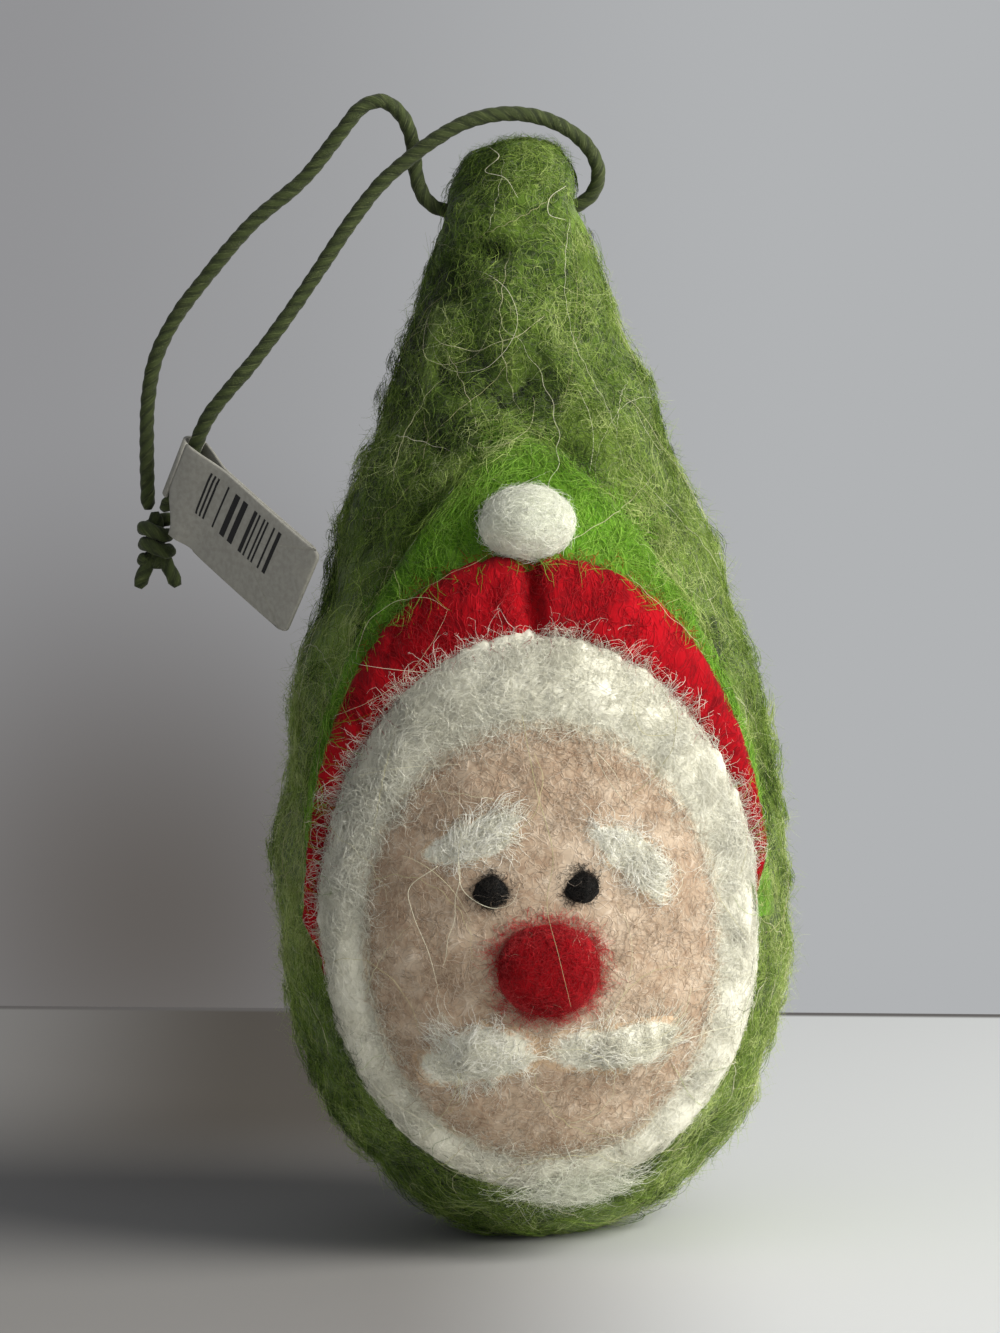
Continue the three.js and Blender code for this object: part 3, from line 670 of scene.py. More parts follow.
SKIN = felt(
    "skin_felt", ((162, 137, 116), (184, 163, 142), (196, 177, 157), (212, 196, 179)), (204, 194, 174),
    depth=0.00009, sheen=0.05, patch=0.004,
)
BLACK = felt(
    "black_felt", ((7, 7, 8), (12, 12, 13), (17, 17, 18), (30, 29, 29)), (70, 55, 46),
    depth=0.00012, sheen=0.05,
)
CORE = felt("core_wool", ((196, 186, 164), (220, 212, 192), (232, 226, 210), (240, 236, 224)))


# The body and its core
BODY_GRID = (280, 350)
CORE_GRID = (120, 160)
COVERED_ROUGHNESS = 0.6
FOOT_FADE = 0.008
MOUTH_DEPTH, MOUTH_WIDTH = 0.0016, 0.0014


def round_mesh(name, look, inset, rough, rows, columns):
    """The body's form, or one inset in it, with the lumps of hand felting."""
    reach = BODY_REACH * np.linspace(0, 1, rows + 1)[:-1]
    angle = np.linspace(-math.pi, math.pi, columns, endpoint=False)
    reach, angle = np.meshgrid(reach, angle, indexing="ij")
    base = over_body(angle, reach, -inset)
    lift = rough * body_lumps(base)
    covered = np.where(surface_lift(angle, reach) > CLEARANCE, COVERED_ROUGHNESS, 1.0)
    mouth = np.hypot(base[..., 1], base[..., 2] - TUNNEL[2])
    lift = lift * covered * smooth(0, FOOT_FADE, reach)
    lift = lift - MOUTH_DEPTH * np.exp(-((mouth / MOUTH_WIDTH) ** 2)) * (inset == 0)
    points = over_body(angle, reach, lift - inset).reshape(-1, 3)
    points[:, 2] = np.maximum(points[:, 2], inset)
    foot = np.array([0, 0, inset])
    tip = np.array([TIP_LEAN, 0, BODY_HEIGHT - inset + lift[-1].mean()])
    flow = np.vstack([points, foot, tip])
    # The rim attribute paints shade into the pit and the hollows of the body
    looks = {"flow": flow, "rim": PIT_PAINTED_SHADE * pit_at(flow) + HOLLOW_PAINTED_SHADE * hollow_at(flow)}
    return build(name, flow, skin(rows, columns, False), [look], looks)


inside = round_mesh("core_of_wool", CORE, FELT_WALL + 2 * CLEARANCE, 0.5, *CORE_GRID)
core = put(inside, ORNAMENT, "core_wool", "wool_core")
body = put(round_mesh("felt_body", OLIVE, 0, 1, *BODY_GRID), ORNAMENT, "olive_felt", "green_felt_body")


# Layers between two edges, as loops over the top and back underneath
EMBED = 0.0008
STRIP_INNER, STRIP_OUTER = -0.14, 1.08


def worked(points, fine):
    """Small lumps of needle work."""
    layers = ((NEEDLE_LUMP_HEIGHT, 0.0042, 5), (fine, 0.0017, 6), (fine * 0.7, 0.0009, 7))
    return layered_lumps(points, layers)


def strip(name, look, inner, outer, lift_at, ends, grid, swell, fine, frays, wobble=0.0005):
    """A layer between two edges; frays is how far its inner and its outer rim take a neighbour's colour."""
    rows, columns = grid
    left, right = ends
    closed = left >= math.pi
    turn = np.linspace(-left, right, rows, endpoint=not closed)
    share = np.linspace(STRIP_INNER, STRIP_OUTER, columns)
    turn, share = np.meshgrid(turn, share, indexing="ij")
    near = edge_radius(inner, turn)
    far = edge_radius(outer, turn)
    circle = np.stack([np.sin(turn), np.cos(turn), 0 * turn], -1)
    uneven = layered_lumps(circle, EDGE_LUMPS)
    even = near + (far - near) * share
    lift = lift_at(even * np.sin(turn), even * np.cos(turn))
    radius = even + wobble * uneven * smooth(0.3, 1, share)
    across = radius * np.sin(turn)
    up = radius * np.cos(turn)
    flat = over_front(across, up, 0 * lift)
    crest = np.clip(1 - np.abs(2 * share - 1), 0, 1)
    lift = lift + crest * swell * layered_lumps(flat, SWELL_LUMPS)
    lift = lift + np.clip(2 * crest, 0, 1) * worked(flat, fine)
    top = over_front(across, up, lift)
    below = over_front(across[:, ::-columns + 1], up[:, ::-columns + 1], np.full((rows, 2), -EMBED))
    loops = np.concatenate([top, below], axis=1)
    count = loops.shape[1]
    middle = 0.5 * (near + far)
    flow = np.stack([middle * np.sin(turn), middle * np.cos(turn), (far - near) * share], axis=-1)
    flow = np.concatenate([flow, flow[:, ::-columns + 1]], axis=1).reshape(-1, 3)
    inner_fray, outer_fray = frays
    rim = inner_fray * smooth(0.34, 0.0, share) + outer_fray * smooth(0.25, 1.0, share)
    rim = np.concatenate([rim, np.zeros((rows, 2))], axis=1).ravel()
    points = loops.reshape(-1, 3)
    if not closed:
        points = np.vstack([points, loops[0].mean(0), loops[-1].mean(0)])
        flow = np.vstack([flow, flow[:1], flow[-1:]])
        rim = np.append(rim, (0, 0))
    return build(name, points, skin(rows, count, closed), [look], {"flow": flow, "rim": rim})


def lowered_hat(across, up):
    """The hat with a notch in its upper edge, at the cleft."""
    upper = smooth(0.6, 1, strip_share(RING_EDGE, HAT_EDGE, across, up))
    return hat_lift(across, up) - CLEFT_NOTCH * cleft_at(across) * upper


band = put(
    strip(
        "bright_band", BRIGHT, HAT_EDGE, BAND_EDGE, band_lift, BAND_ENDS, (320, 34), 0.0002, 0.00010, (0, 1),
    ),
    ORNAMENT, "bright_green_felt", "bright_green_band",
)
hat = put(
    strip(
        "felt_hat", RED, RING_EDGE, HAT_EDGE, lowered_hat, HAT_ENDS, (340, 30), 0.0005, 0.00012, (0.6, 0),
    ),
    ORNAMENT, "red_felt", "red_hat",
)
ring = put(
    strip(
        "trim_and_beard", WHITE, FACE_EDGE, RING_EDGE, ring_lift, RING_ENDS, (640, 40), 0.0005, 0.00010,
        (0.8, 0), wobble=0.0009,
    ),
    ORNAMENT, "white_felt", "hat_trim_and_beard",
)


# Pads: rings from a heart out to an outline, and back underneath
def pad(name, look, place, outline, lift_at, rings, fine, overhang=1.0, fray=0.45):
    """place gives points over what carries the pad; outline is across and up from its heart all round it."""
    spread = np.concatenate([np.sin(np.linspace(0, 0.5, rings + 1)[1:] * math.pi) * overhang, [overhang]])
    sunk = np.append(np.zeros(rings), 1)
    across, up = outline
    across = across[None] * spread[:, None]
    up = up[None] * spread[:, None]
    flat = place(across, up, np.zeros_like(across))
    soft = smooth(1.0, 0.75, spread / overhang)[:, None]
    lift = lift_at(spread)[:, None] + soft * worked(flat, fine)
    lift = np.where(sunk[:, None] > 0, -EMBED, lift)
    points = place(across, up, lift)
    heart = np.zeros(1)
    crest = place(heart, heart, lift_at(heart) + worked(place(heart, heart, heart), fine))
    root = place(heart, heart, np.full(1, -EMBED))
    rim = np.repeat(spread / overhang, across.shape[1])
    rim = np.append(smooth(fray, 1.0, rim), (0, 1))
    points = np.vstack([points.reshape(-1, 3), crest, root])
    return build(name, points, skin(rings + 1, across.shape[1], False), [look], {"flow": points, "rim": rim})


def face_outline(count=300):
    turn = np.linspace(-math.pi, math.pi, count, endpoint=False)
    radius = edge_radius(FACE_EDGE, turn)
    return radius * np.sin(turn), radius * np.cos(turn)


def face_pad():
    across, up = face_outline()

    def place(side, rise, lift):
        return over_front(side, rise, face_lift(side, rise) * (lift > -EMBED) + lift)

    return pad("felt_face", SKIN, place, (across, up), lambda spread: 0 * spread, 60, 0.00010, 1.04, 0.84)


def bean_outline(bean, count):
    angle = np.linspace(0, 2 * math.pi, count, endpoint=False)
    power = 2 / bean.power
    along = np.sign(np.cos(angle)) * np.abs(np.cos(angle)) ** power
    aside = np.sign(np.sin(angle)) * np.abs(np.sin(angle)) ** power * bean.half_width + bean.bend * along**2
    along = along * bean.half_length
    lean = math.radians(bean.lean)
    return along * math.cos(lean) - aside * math.sin(lean), along * math.sin(lean) + aside * math.cos(lean)


def ragged_outline(bean, count, ragged):
    outline = np.array(bean_outline(bean, count))
    around = np.arctan2(outline[1], outline[0])
    circle = np.stack([np.cos(around), np.sin(around), np.full_like(around, 9 * bean.across)], axis=-1)
    return outline * (1 + ragged * lumps(circle, 0.45, 12))


def on_face(bean):
    def place(side, rise, lift):
        side, rise = side + bean.across, rise + bean.up
        return over_front(side, rise, face_lift(side, rise) + lift)

    return place


TUFT_SINK = 0.00012


def soft_bean(name, look, bean, slot, node, fine=0.00012, overhang=1.15, ragged=0.25, fray=0.2):
    """A tuft that thins out into what it is worked onto."""
    outline = ragged_outline(bean, 90, ragged)

    def lift_at(spread):
        return bean_height(bean, spread / overhang) - TUFT_SINK * spread

    made = pad(name, look, on_face(bean), outline, lift_at, 18, fine, overhang, fray)
    return put(made, ORNAMENT, slot, node)


def ball_bean(name, look, bean, place, slot, node, fine):
    """A ball pressed down onto its seat."""
    def lift_at(spread):
        return ball_height(bean, spread)

    outline = ragged_outline(bean, 110, 0.06)
    return put(pad(name, look, place, outline, lift_at, 26, fine), ORNAMENT, slot, node)


def on_band(side, rise, lift):
    height = FACE_HEIGHT + POMPOM.up
    angle = side / radius_at(reach_of(height))
    return over_body(angle, reach_of(height + rise), lift + BAND_CROWN)


face = put(face_pad(), ORNAMENT, "skin_felt", "face_pad")
EYE_SHAPE = {"fine": 0.00006, "overhang": 1.0, "ragged": 0.14, "fray": 0.6}
TUFTS = (
    ("left_brow", TUFT, LEFT_BROW, "white_felt", {}),
    ("right_brow", TUFT, RIGHT_BROW, "white_felt", {}),
    ("left_moustache", TUFT, LEFT_MOUSTACHE, "white_felt", {"overhang": 1.28}),
    ("right_moustache", TUFT, RIGHT_MOUSTACHE, "white_felt", {"overhang": 1.22}),
    ("left_eye", BLACK, LEFT_EYE, "black_felt", EYE_SHAPE),
    ("right_eye", BLACK, RIGHT_EYE, "black_felt", EYE_SHAPE),
)
tufts = [
    soft_bean(f"{node}_tuft", look, bean, slot, node, **shape) for node, look, bean, slot, shape in TUFTS
]
nose = ball_bean("felt_nose", NOSE_RED, NOSE, on_face(NOSE), "red_felt", "nose", 0.00014)
pompom = ball_bean("felt_pompom", BALL, POMPOM, on_band, "white_felt", "hat_pompom", 0.00014)


# Smooth paths
def blend(t, start, end, first, second):
    """From first at start to second at end."""
    return (end - t) / (end - start) * first + (t - start) / (end - start) * second


def centripetal(points, per_span=24):
    """A centripetal Catmull-Rom curve through points."""
    points = np.array(points, float)
    ends = [2 * points[0] - points[1], *points, 2 * points[-1] - points[-2]]
    made = []
    for p0, p1, p2, p3 in zip(ends, ends[1:], ends[2:], ends[3:]):
        spans = [max(np.linalg.norm(b - a), 1e-9) ** 0.5 for a, b in ((p0, p1), (p1, p2), (p2, p3))]
        t0, t1, t2, t3 = np.cumsum([0] + spans)
        t = np.linspace(t1, t2, per_span, endpoint=False)[:, None]
        a1, a2, a3 = blend(t, t0, t1, p0, p1), blend(t, t1, t2, p1, p2), blend(t, t2, t3, p2, p3)
        b1, b2 = blend(t, t0, t2, a1, a2), blend(t, t1, t3, a2, a3)
        made.append(blend(t, t1, t2, b1, b2))
    return np.vstack([*made, points[-1:]])


def length_of(path):
    return float(np.linalg.norm(np.diff(path, axis=0), axis=1).sum())


def spaced(path, step):
    """The path in even steps of about the given length."""
    run = np.concatenate([[0], np.cumsum(np.linalg.norm(np.diff(path, axis=0), axis=1))])
    even = np.linspace(0, run[-1], max(int(run[-1] / step), 2) + 1)
    return np.column_stack([np.interp(even, run, path[:, axis]) for axis in range(3)])


# Loose fibres: thin closed tubes that lie on the felt or stand out from it
FIBRE_SIDES = 3
FIBRE_STEPS = 7
LONG_STEPS = 12
MOST_TRIANGLES = 197000
ROOT_DENSITY = 6.5e6
ROOT_JITTER = 0.00025
ROOT_DEPTH = 0.0001
GROUND_GAP = 0.0002
LEAST_RADIUS = 0.002
LEAST_PATH_RADIUS = 0.001
TIP_STOP = 0.0004
LENGTHS = (0.5, 1.3)
THICKNESSES = (0.7, 1.3)
FIBRE_TAPER = ((0, 0.2, 0.6, 1), (0.8, 1, 0.9, 0.35))
HAZE_FIBRE = 0.000026
FINE_FIBRE = 0.00003
MIDDLE_FIBRE = 0.000045
LOCK_FIBRE = 0.000055
Fibre = namedtuple("Fibre", "length curl height thickness")
Wool = namedtuple("Wool", "looks slot")


def unit(vectors):
    return vectors / np.maximum(np.linalg.norm(vectors, axis=-1, keepdims=True), 1e-12)


def tubes(paths, thickness):
    """Points and faces of tapered tubes along paths with equal numbers of points."""
    count, steps = paths.shape[:2]
    ahead = unit(np.gradient(paths, axis=1))
    side = unit(np.cross(ahead, unit(rng.normal(size=(count, 1, 3)))))
    over = np.cross(ahead, side)
    around = 2 * math.pi * np.arange(FIBRE_SIDES)[:, None] / FIBRE_SIDES
    turn = np.cos(around) * side[:, :, None] + np.sin(around) * over[:, :, None]
    taper = np.interp(np.linspace(0, 1, steps), *FIBRE_TAPER)
    size = 0.5 * thickness[:, None] * taper
    loops = (paths[:, :, None] + size[..., None, None] * turn).reshape(count, -1, 3)
    points = np.concatenate([loops, paths[:, :1], paths[:, -1:]], axis=1)
    starts = points.shape[1] * np.arange(count)[:, None, None]
    faces = [(f + starts).reshape(-1, f.shape[1]) for f in skin(steps, FIBRE_SIDES, False)]
    return points.reshape(-1, 3), faces


def swung_loop():
    """Places along the loop at both ends of its swing, as far as they are near the tip."""
    strands = [spaced(centripetal(strand[2:]), LOOP_STEP) for strand in (LEFT_STRAND, RIGHT_STRAND)]
    places = np.vstack(strands)
    places = places[np.linalg.norm(places, axis=1) < LOOP_NEAR]
    turns = [np.array(Matrix.Rotation(math.radians(swing), 3, "X")) for swing in LOOP_SWING]
    return np.vstack([TUNNEL + places @ turn.T for turn in turns])


def swung_label():
    """Places over the outer half of the label, turned as far as it goes towards the felt."""
    along = np.linspace(0.5 * LABEL_LENGTH, LABEL_LENGTH, 8)[:, None, None] * LABEL_HANG
    places = along + np.linspace(-LABEL_DROP, LABEL_RISE, 7)[:, None] * LABEL_UP
    turn = np.array(Matrix.Rotation(math.radians(LABEL_SWING), 3, Vector(LABEL_UP)))
    return LABEL_PLACE + places.reshape(-1, 3) @ turn.T


SWUNG_LOOP = np.vstack([swung_loop(), swung_label()])


def near_loop(points, room):
    """Which points come closer than room to the loop or the label at the ends of their swing."""
    near = np.zeros(points.shape[:-1], bool)
    for place in SWUNG_LOOP:
        near |= np.linalg.norm(points - place, axis=-1) < room
    return near


def loose(name, paths, thickness, tones, wool):
    """Fibres in pieces of a limited number, each in one of the wool's looks, clear of the swinging loop."""
    clear = ~near_loop(paths, LOOP_TOUCH).any(axis=1)
    paths, thickness, tones = paths[clear], thickness[clear], tones[clear]
    most = MOST_TRIANGLES // (2 * FIBRE_SIDES * paths.shape[1])
    for part, start in enumerate(range(0, len(paths), most)):
        chosen = slice(start, start + most)
        points, faces = tubes(paths[chosen], thickness[chosen])
        each = len(paths[chosen])
        slots = np.concatenate([np.repeat(tones[chosen], len(f) // each) for f in faces])
        put(build(f"{name}_{part + 1}", points, faces, wool.looks, slots=slots), ORNAMENT, wool.slot)


def curls(count, curl):
    """For each fibre, how far it bends, how far it waves, how often and from where."""
    return np.column_stack([
        curl * rng.normal(size=count),
        0.6 * curl * rng.uniform(0, 1, count),
        rng.uniform(0.6, 1.6, count),
        rng.uniform(0, 2 * math.pi, count),
    ])


def wander(surface, radius_of, angle, reach, heading, length, bends, lift):
    """Paths that start at an angle and a reach and wander over a surface at a height over it."""
    steps = lift.shape[1]
    share = np.linspace(0, 1, steps)
    bend, wave, beat, phase = bends.T[:, :, None]
    beat = beat * steps / FIBRE_STEPS
    course = heading[:, None] + bend * share + wave * np.sin(2 * math.pi * beat * share + phase)
    pace = length / (steps - 1)
    angles, reaches = [angle], [reach]
    for step in range(steps - 1):
        radius = np.maximum(radius_of(reaches[-1]), LEAST_PATH_RADIUS)
        angles.append(angles[-1] + pace * np.cos(course[:, step]) / radius)
        reaches.append(reaches[-1] + pace * np.sin(course[:, step]))
    return surface(np.stack(angles, axis=1), np.stack(reaches, axis=1), lift)


def lying(count, bow, steps=FIBRE_STEPS):
    """Heights of fibres that bow up and come down again."""
    share = np.linspace(0, 1, steps)
    return -ROOT_DEPTH + bow * rng.uniform(0.3, 1, (count, 1)) * np.sin(math.pi * share)


def standing(count, rise, steps=FIBRE_STEPS):
    """Heights of fibres that rise to their free ends."""
    share = np.linspace(0, 1, steps)
    return -ROOT_DEPTH + rise * rng.uniform(0.25, 1, (count, 1)) ** 1.6 * share**1.4


def over_felt(angle, reach, lift):
    """Points over the finished surface of the body and its worked front."""
    reach = np.clip(reach, 0, BODY_REACH - TIP_STOP)
    lift = lift * (0.4 + 0.6 * smooth(0.003, 0.016, radius_at(reach)))
    front = surface_lift(angle, reach)
    bare = smooth(0.0008, 0.0001, front)
    points = over_body(angle, reach, front + bare * body_lumps(over_body(angle, reach, 0)) + lift)
    points[..., 2] = np.maximum(points[..., 2], GROUND_GAP)
    return points


# Places for roots all over the body, and where each lies on the worked front
def root_places():
    widths = 0.5 * (PROFILE[1:, 0] + PROFILE[:-1, 0])
    rings = np.concatenate([[0], np.cumsum(np.diff(PROFILE_REACH) * widths)])
    count = int(ROOT_DENSITY * 2 * math.pi * rings[-1])
    reach = np.interp(rng.uniform(0, rings[-1], count), rings, PROFILE_REACH)
    return rng.uniform(-math.pi, math.pi, count), reach


ROOT_ANGLE, ROOT_REACH = root_places()
ROOT_BASE = over_body(ROOT_ANGLE, ROOT_REACH, 0)
ROOT_ACROSS, ROOT_UP = front_of(ROOT_ANGLE, ROOT_REACH)
ROOT_TURN = np.arctan2(ROOT_ACROSS, ROOT_UP)
FACE_SHARE, RING_SHARE, HAT_SHARE, BAND_SHARE = (
    share_of(edge, ROOT_ACROSS, ROOT_UP) for edge in (FACE_EDGE, RING_EDGE, HAT_EDGE, BAND_EDGE)
)


def between(share, low, high):
    return (share > low) & (share < high)


def share_on(bean):
    return bean_share(bean, ROOT_ACROSS, ROOT_UP)


def one_way(degrees):
    return np.full(len(ROOT_REACH), math.radians(degrees))


MOUTH_CLEAR = 0.003
INSIDE_HAT_ENDS = ends_fade(ROOT_ACROSS, ROOT_UP, HAT_ENDS, 0.1) > 0.5
INSIDE_BAND_ENDS = ends_fade(ROOT_ACROSS, ROOT_UP, BAND_ENDS, 0.6) > 0.5
ON_FACE = FACE_SHARE < 1
ON_RING = (RING_SHARE < 1) & ~ON_FACE
ON_HAT = (HAT_SHARE < 1) & (RING_SHARE >= 1) & INSIDE_HAT_ENDS
ON_BAND = (BAND_SHARE < 1) & (HAT_SHARE >= 1) & INSIDE_BAND_ENDS
ON_TUFT = np.min([share_on(bean) for bean in FACE_BEANS], axis=0) < 1.1
ON_BODY = ~(ON_FACE | ON_RING | ON_HAT | ON_BAND)
NEAR_EYE = np.minimum(share_on(LEFT_EYE), share_on(RIGHT_EYE)) < 1.7
FROM_TUNNEL = np.hypot(ROOT_BASE[:, 1], ROOT_BASE[:, 2] - TUNNEL[2])
AT_MOUTH = (FROM_TUNNEL < MOUTH_CLEAR) | (pit_at(ROOT_BASE) > 0.9)
IN_SWING = near_loop(ROOT_BASE, LOOP_ROOM)
ROUND = -ROOT_TURN
OUTWARD = math.pi / 2 - ROOT_TURN
SWIRL = 1.8 * math.pi * lumps(ROOT_BASE, 0.008, 31)
ANY_WAY = math.pi
# Painted shade: fibre tones on the body are darker in its hollows and towards the tip
TIP_SHADE = 0.3 * smooth(0.096, 0.110, ROOT_BASE[:, 2])
ROOT_SHADE = ON_BODY * (0.55 * hollow_at(ROOT_BASE) + TIP_SHADE)


def tone_of(base, count, shade=0.0):
    """Tones from dark to light, in patches, darker by the painted shade given."""
    level = 0.62 + 0.35 * lumps(base, 0.010, 41) - shade + 0.2 * rng.normal(size=len(base))
    return (count * np.clip(level, 0, 0.999)).astype(int)


def dyed(name, slot, *colours):
    """A wool of several tones, from dark to light."""
    looks = [plain(f"{name}_fibre_{index + 1}", paint(*colour)) for index, colour in enumerate(colours)]
    return Wool(looks, slot)


OLIVE_WOOL = dyed(
    "olive", "olive_felt", (50, 70, 21), (86, 112, 38), (118, 146, 58), (152, 176, 86), (188, 202, 130),
)
LIGHT_OLIVE_WOOL = Wool(OLIVE_WOOL.looks[1:], OLIVE_WOOL.slot)
# Paler fibres that stand out of the felt, partly painted light: their paleness stands in for light shining
# through the fuzz
PAINTED_GLOW_WOOL = dyed("halo", "olive_felt", (142, 168, 76), (178, 198, 116), (206, 218, 158))
BRIGHT_WOOL = dyed(
    "bright_green", "bright_green_felt", (76, 122, 24), (99, 149, 36), (118, 166, 48), (144, 188, 74),
)
RED_WOOL = dyed("red", "red_felt", (116, 1, 11), (150, 3, 17), (168, 6, 22), (182, 20, 33))
ROSE_WOOL = dyed("rose", "red_felt", (170, 16, 28), (190, 34, 44), (206, 62, 66))
WHITE_WOOL = dyed("white", "white_felt", (216, 214, 199), (226, 224, 210), (233, 231, 218), (244, 243, 233))
TUFT_WOOL = dyed("tuft", "white_felt", (208, 205, 188), (228, 226, 211), (243, 241, 229), (251, 250, 243))
BALL_WOOL = dyed("pompom", "white_felt", (220, 222, 204), (238, 240, 225), (247, 248, 238))
SKIN_WOOL = dyed("skin", "skin_felt", (152, 123, 99), (177, 153, 130), (193, 172, 150), (210, 193, 176))
BLACK_WOOL = dyed("black", "black_felt", (11, 11, 12), (18, 18, 18), (40, 36, 33))
PALE_WOOL = dyed("pale", "white_felt", (190, 184, 140), (216, 211, 176), (232, 228, 204))


def coat(name, roots, share, heading, spread, fibre, wool, stand=0.0, two_way=True, steps=FIBRE_STEPS):
    """A coat with a share of fibres to each root; stand is the share of them that stands out of the felt."""
    found = np.flatnonzero(roots & ~AT_MOUTH)
    count = int(share * len(found))
    chosen = rng.choice(found, count)
    reach = ROOT_REACH[chosen] + ROOT_JITTER * rng.normal(size=count)
    aside = ROOT_JITTER * rng.normal(size=count)
    angle = ROOT_ANGLE[chosen] + aside / np.maximum(radius_at(reach), LEAST_RADIUS)
    ways = math.pi * rng.integers(0, 2, count) if two_way else 0
    course = heading[chosen] + spread * rng.normal(size=count) + ways
    stands = rng.uniform(size=(count, 1)) < stand
    lift = np.where(stands, standing(count, fibre.height, steps), lying(count, fibre.height, steps))
    lengths = fibre.length * rng.uniform(*LENGTHS, count)
    bends = curls(count, fibre.curl)
    paths = wander(over_felt, radius_at, angle, reach, course, lengths, bends, lift)
    tones = tone_of(ROOT_BASE[chosen], len(wool.looks), ROOT_SHADE[chosen])
    loose(name, paths, fibre.thickness * rng.uniform(*THICKNESSES, count), tones, wool)


def locks(name, roots, count, each, heading, spread, fibre, width, wool, steps=FIBRE_STEPS, hang=0.0):
    """Locks of wool: fibres that lie side by side and share a course and, nearly, a tone."""
    chosen = rng.choice(np.flatnonzero(roots & ~AT_MOUTH), count)
    lock = np.repeat(np.arange(count), each)
    total = len(lock)
    course = (heading[chosen] + spread * rng.normal(size=count))[lock] + 0.22 * rng.normal(size=total)
    reach = ROOT_REACH[chosen][lock] + width * rng.normal(size=total)
    aside = width * rng.normal(size=total)
    angle = ROOT_ANGLE[chosen][lock] + aside / np.maximum(radius_at(reach), LEAST_RADIUS)
    bends = curls(count, fibre.curl)[lock] + 0.2 * curls(total, fibre.curl)
    lift = lying(count, fibre.height, steps)[lock] + lying(total, 0.4 * fibre.height, steps)
    lift = lift + hang * rng.uniform(0.5, 1, (total, 1)) * np.linspace(0, 1, steps)
    lengths = (fibre.length * rng.uniform(0.6, 1.3, count))[lock] * rng.uniform(0.7, 1.2, total)
    paths = wander(over_felt, radius_at, angle, reach, course, lengths, bends, lift)
    tones = tone_of(ROOT_BASE[chosen], len(wool.looks), ROOT_SHADE[chosen])[lock] + rng.integers(-1, 2, total)
    thickness = fibre.thickness * rng.uniform(*THICKNESSES, total)
    loose(name, paths, thickness, np.clip(tones, 0, len(wool.looks) - 1), wool)


# Coats and locks of the body, the band, the hat, the trim and the face
BARE_BODY = ON_BODY & ~IN_SWING
ON_TIP = (ROOT_BASE[:, 2] > 0.110) & ~IN_SWING
RING_SHOULDER = ON_RING & (RING_SHARE > 0.88)
HAT_RIM = between(HAT_SHARE, 0.97, 1.03) & INSIDE_HAT_ENDS
FACE_ROOTS = ON_FACE & ~ON_TUFT & ~NEAR_EYE
OLIVE_COAT = Fibre(0.0085, 3.6, 0.0009, 0.00005)
OLIVE_FUZZ = Fibre(0.0040, 3.0, 0.0021, 0.000036)
OLIVE_HALO = Fibre(0.0046, 3.0, 0.0029, 0.000028)
TIP_FUZZ = Fibre(0.0034, 3.0, 0.0030, 0.000036)
BAND_COAT = Fibre(0.0040, 1.4, 0.0005, 0.00006)
HAT_COAT = Fibre(0.0024, 1.2, 0.0003, 0.00006)
RING_COAT = Fibre(0.0040, 2.6, 0.0007, MIDDLE_FIBRE)
RING_FUZZ = Fibre(0.0030, 3.2, 0.0010, FINE_FIBRE)
RING_EDGING = Fibre(0.0011, 3.6, 0.0005, FINE_FIBRE)
HAT_HAZE = Fibre(0.0020, 3.6, 0.0003, FINE_FIBRE)
HAT_GREEN = Fibre(0.0018, 3.0, 0.0004, FINE_FIBRE)
FACE_COAT = Fibre(0.0030, 2.0, 0.0003, MIDDLE_FIBRE)
coat("olive_coat", ON_BODY, 0.155, SWIRL, 1.2, OLIVE_COAT, OLIVE_WOOL, steps=LONG_STEPS)
coat("olive_fuzz", BARE_BODY, 0.18, SWIRL, ANY_WAY, OLIVE_FUZZ, LIGHT_OLIVE_WOOL, 1.0)
coat("olive_halo", BARE_BODY, 0.14, SWIRL, ANY_WAY, OLIVE_HALO, PAINTED_GLOW_WOOL, 1.0)
coat("tip_fuzz", ON_TIP, 0.9, SWIRL, ANY_WAY, TIP_FUZZ, LIGHT_OLIVE_WOOL, 1.0)
coat("band_coat", ON_BAND, 0.6, OUTWARD, 0.7, BAND_COAT, BRIGHT_WOOL, 0.1)
coat("hat_coat", ON_HAT, 0.7, OUTWARD, 0.6, HAT_COAT, RED_WOOL, 0.1)
coat("ring_coat", ON_RING, 0.8, ROUND, 0.9, RING_COAT, WHITE_WOOL, 0.25)
coat("ring_fuzz", ON_RING, 0.6, SWIRL, ANY_WAY, RING_FUZZ, WHITE_WOOL, 0.5)
coat("ring_edge", RING_SHOULDER, 1.8, OUTWARD, 1.3, RING_EDGING, WHITE_WOOL, 0.4, False)
coat("hat_haze", HAT_RIM, 0.7, SWIRL, ANY_WAY, HAT_HAZE, RED_WOOL, 0.1)
coat("hat_green", HAT_RIM, 0.12, SWIRL, ANY_WAY, HAT_GREEN, BRIGHT_WOOL, 0.1)
coat("face_coat", FACE_ROOTS, 0.6, SWIRL, ANY_WAY, FACE_COAT, SKIN_WOOL, 0.08)

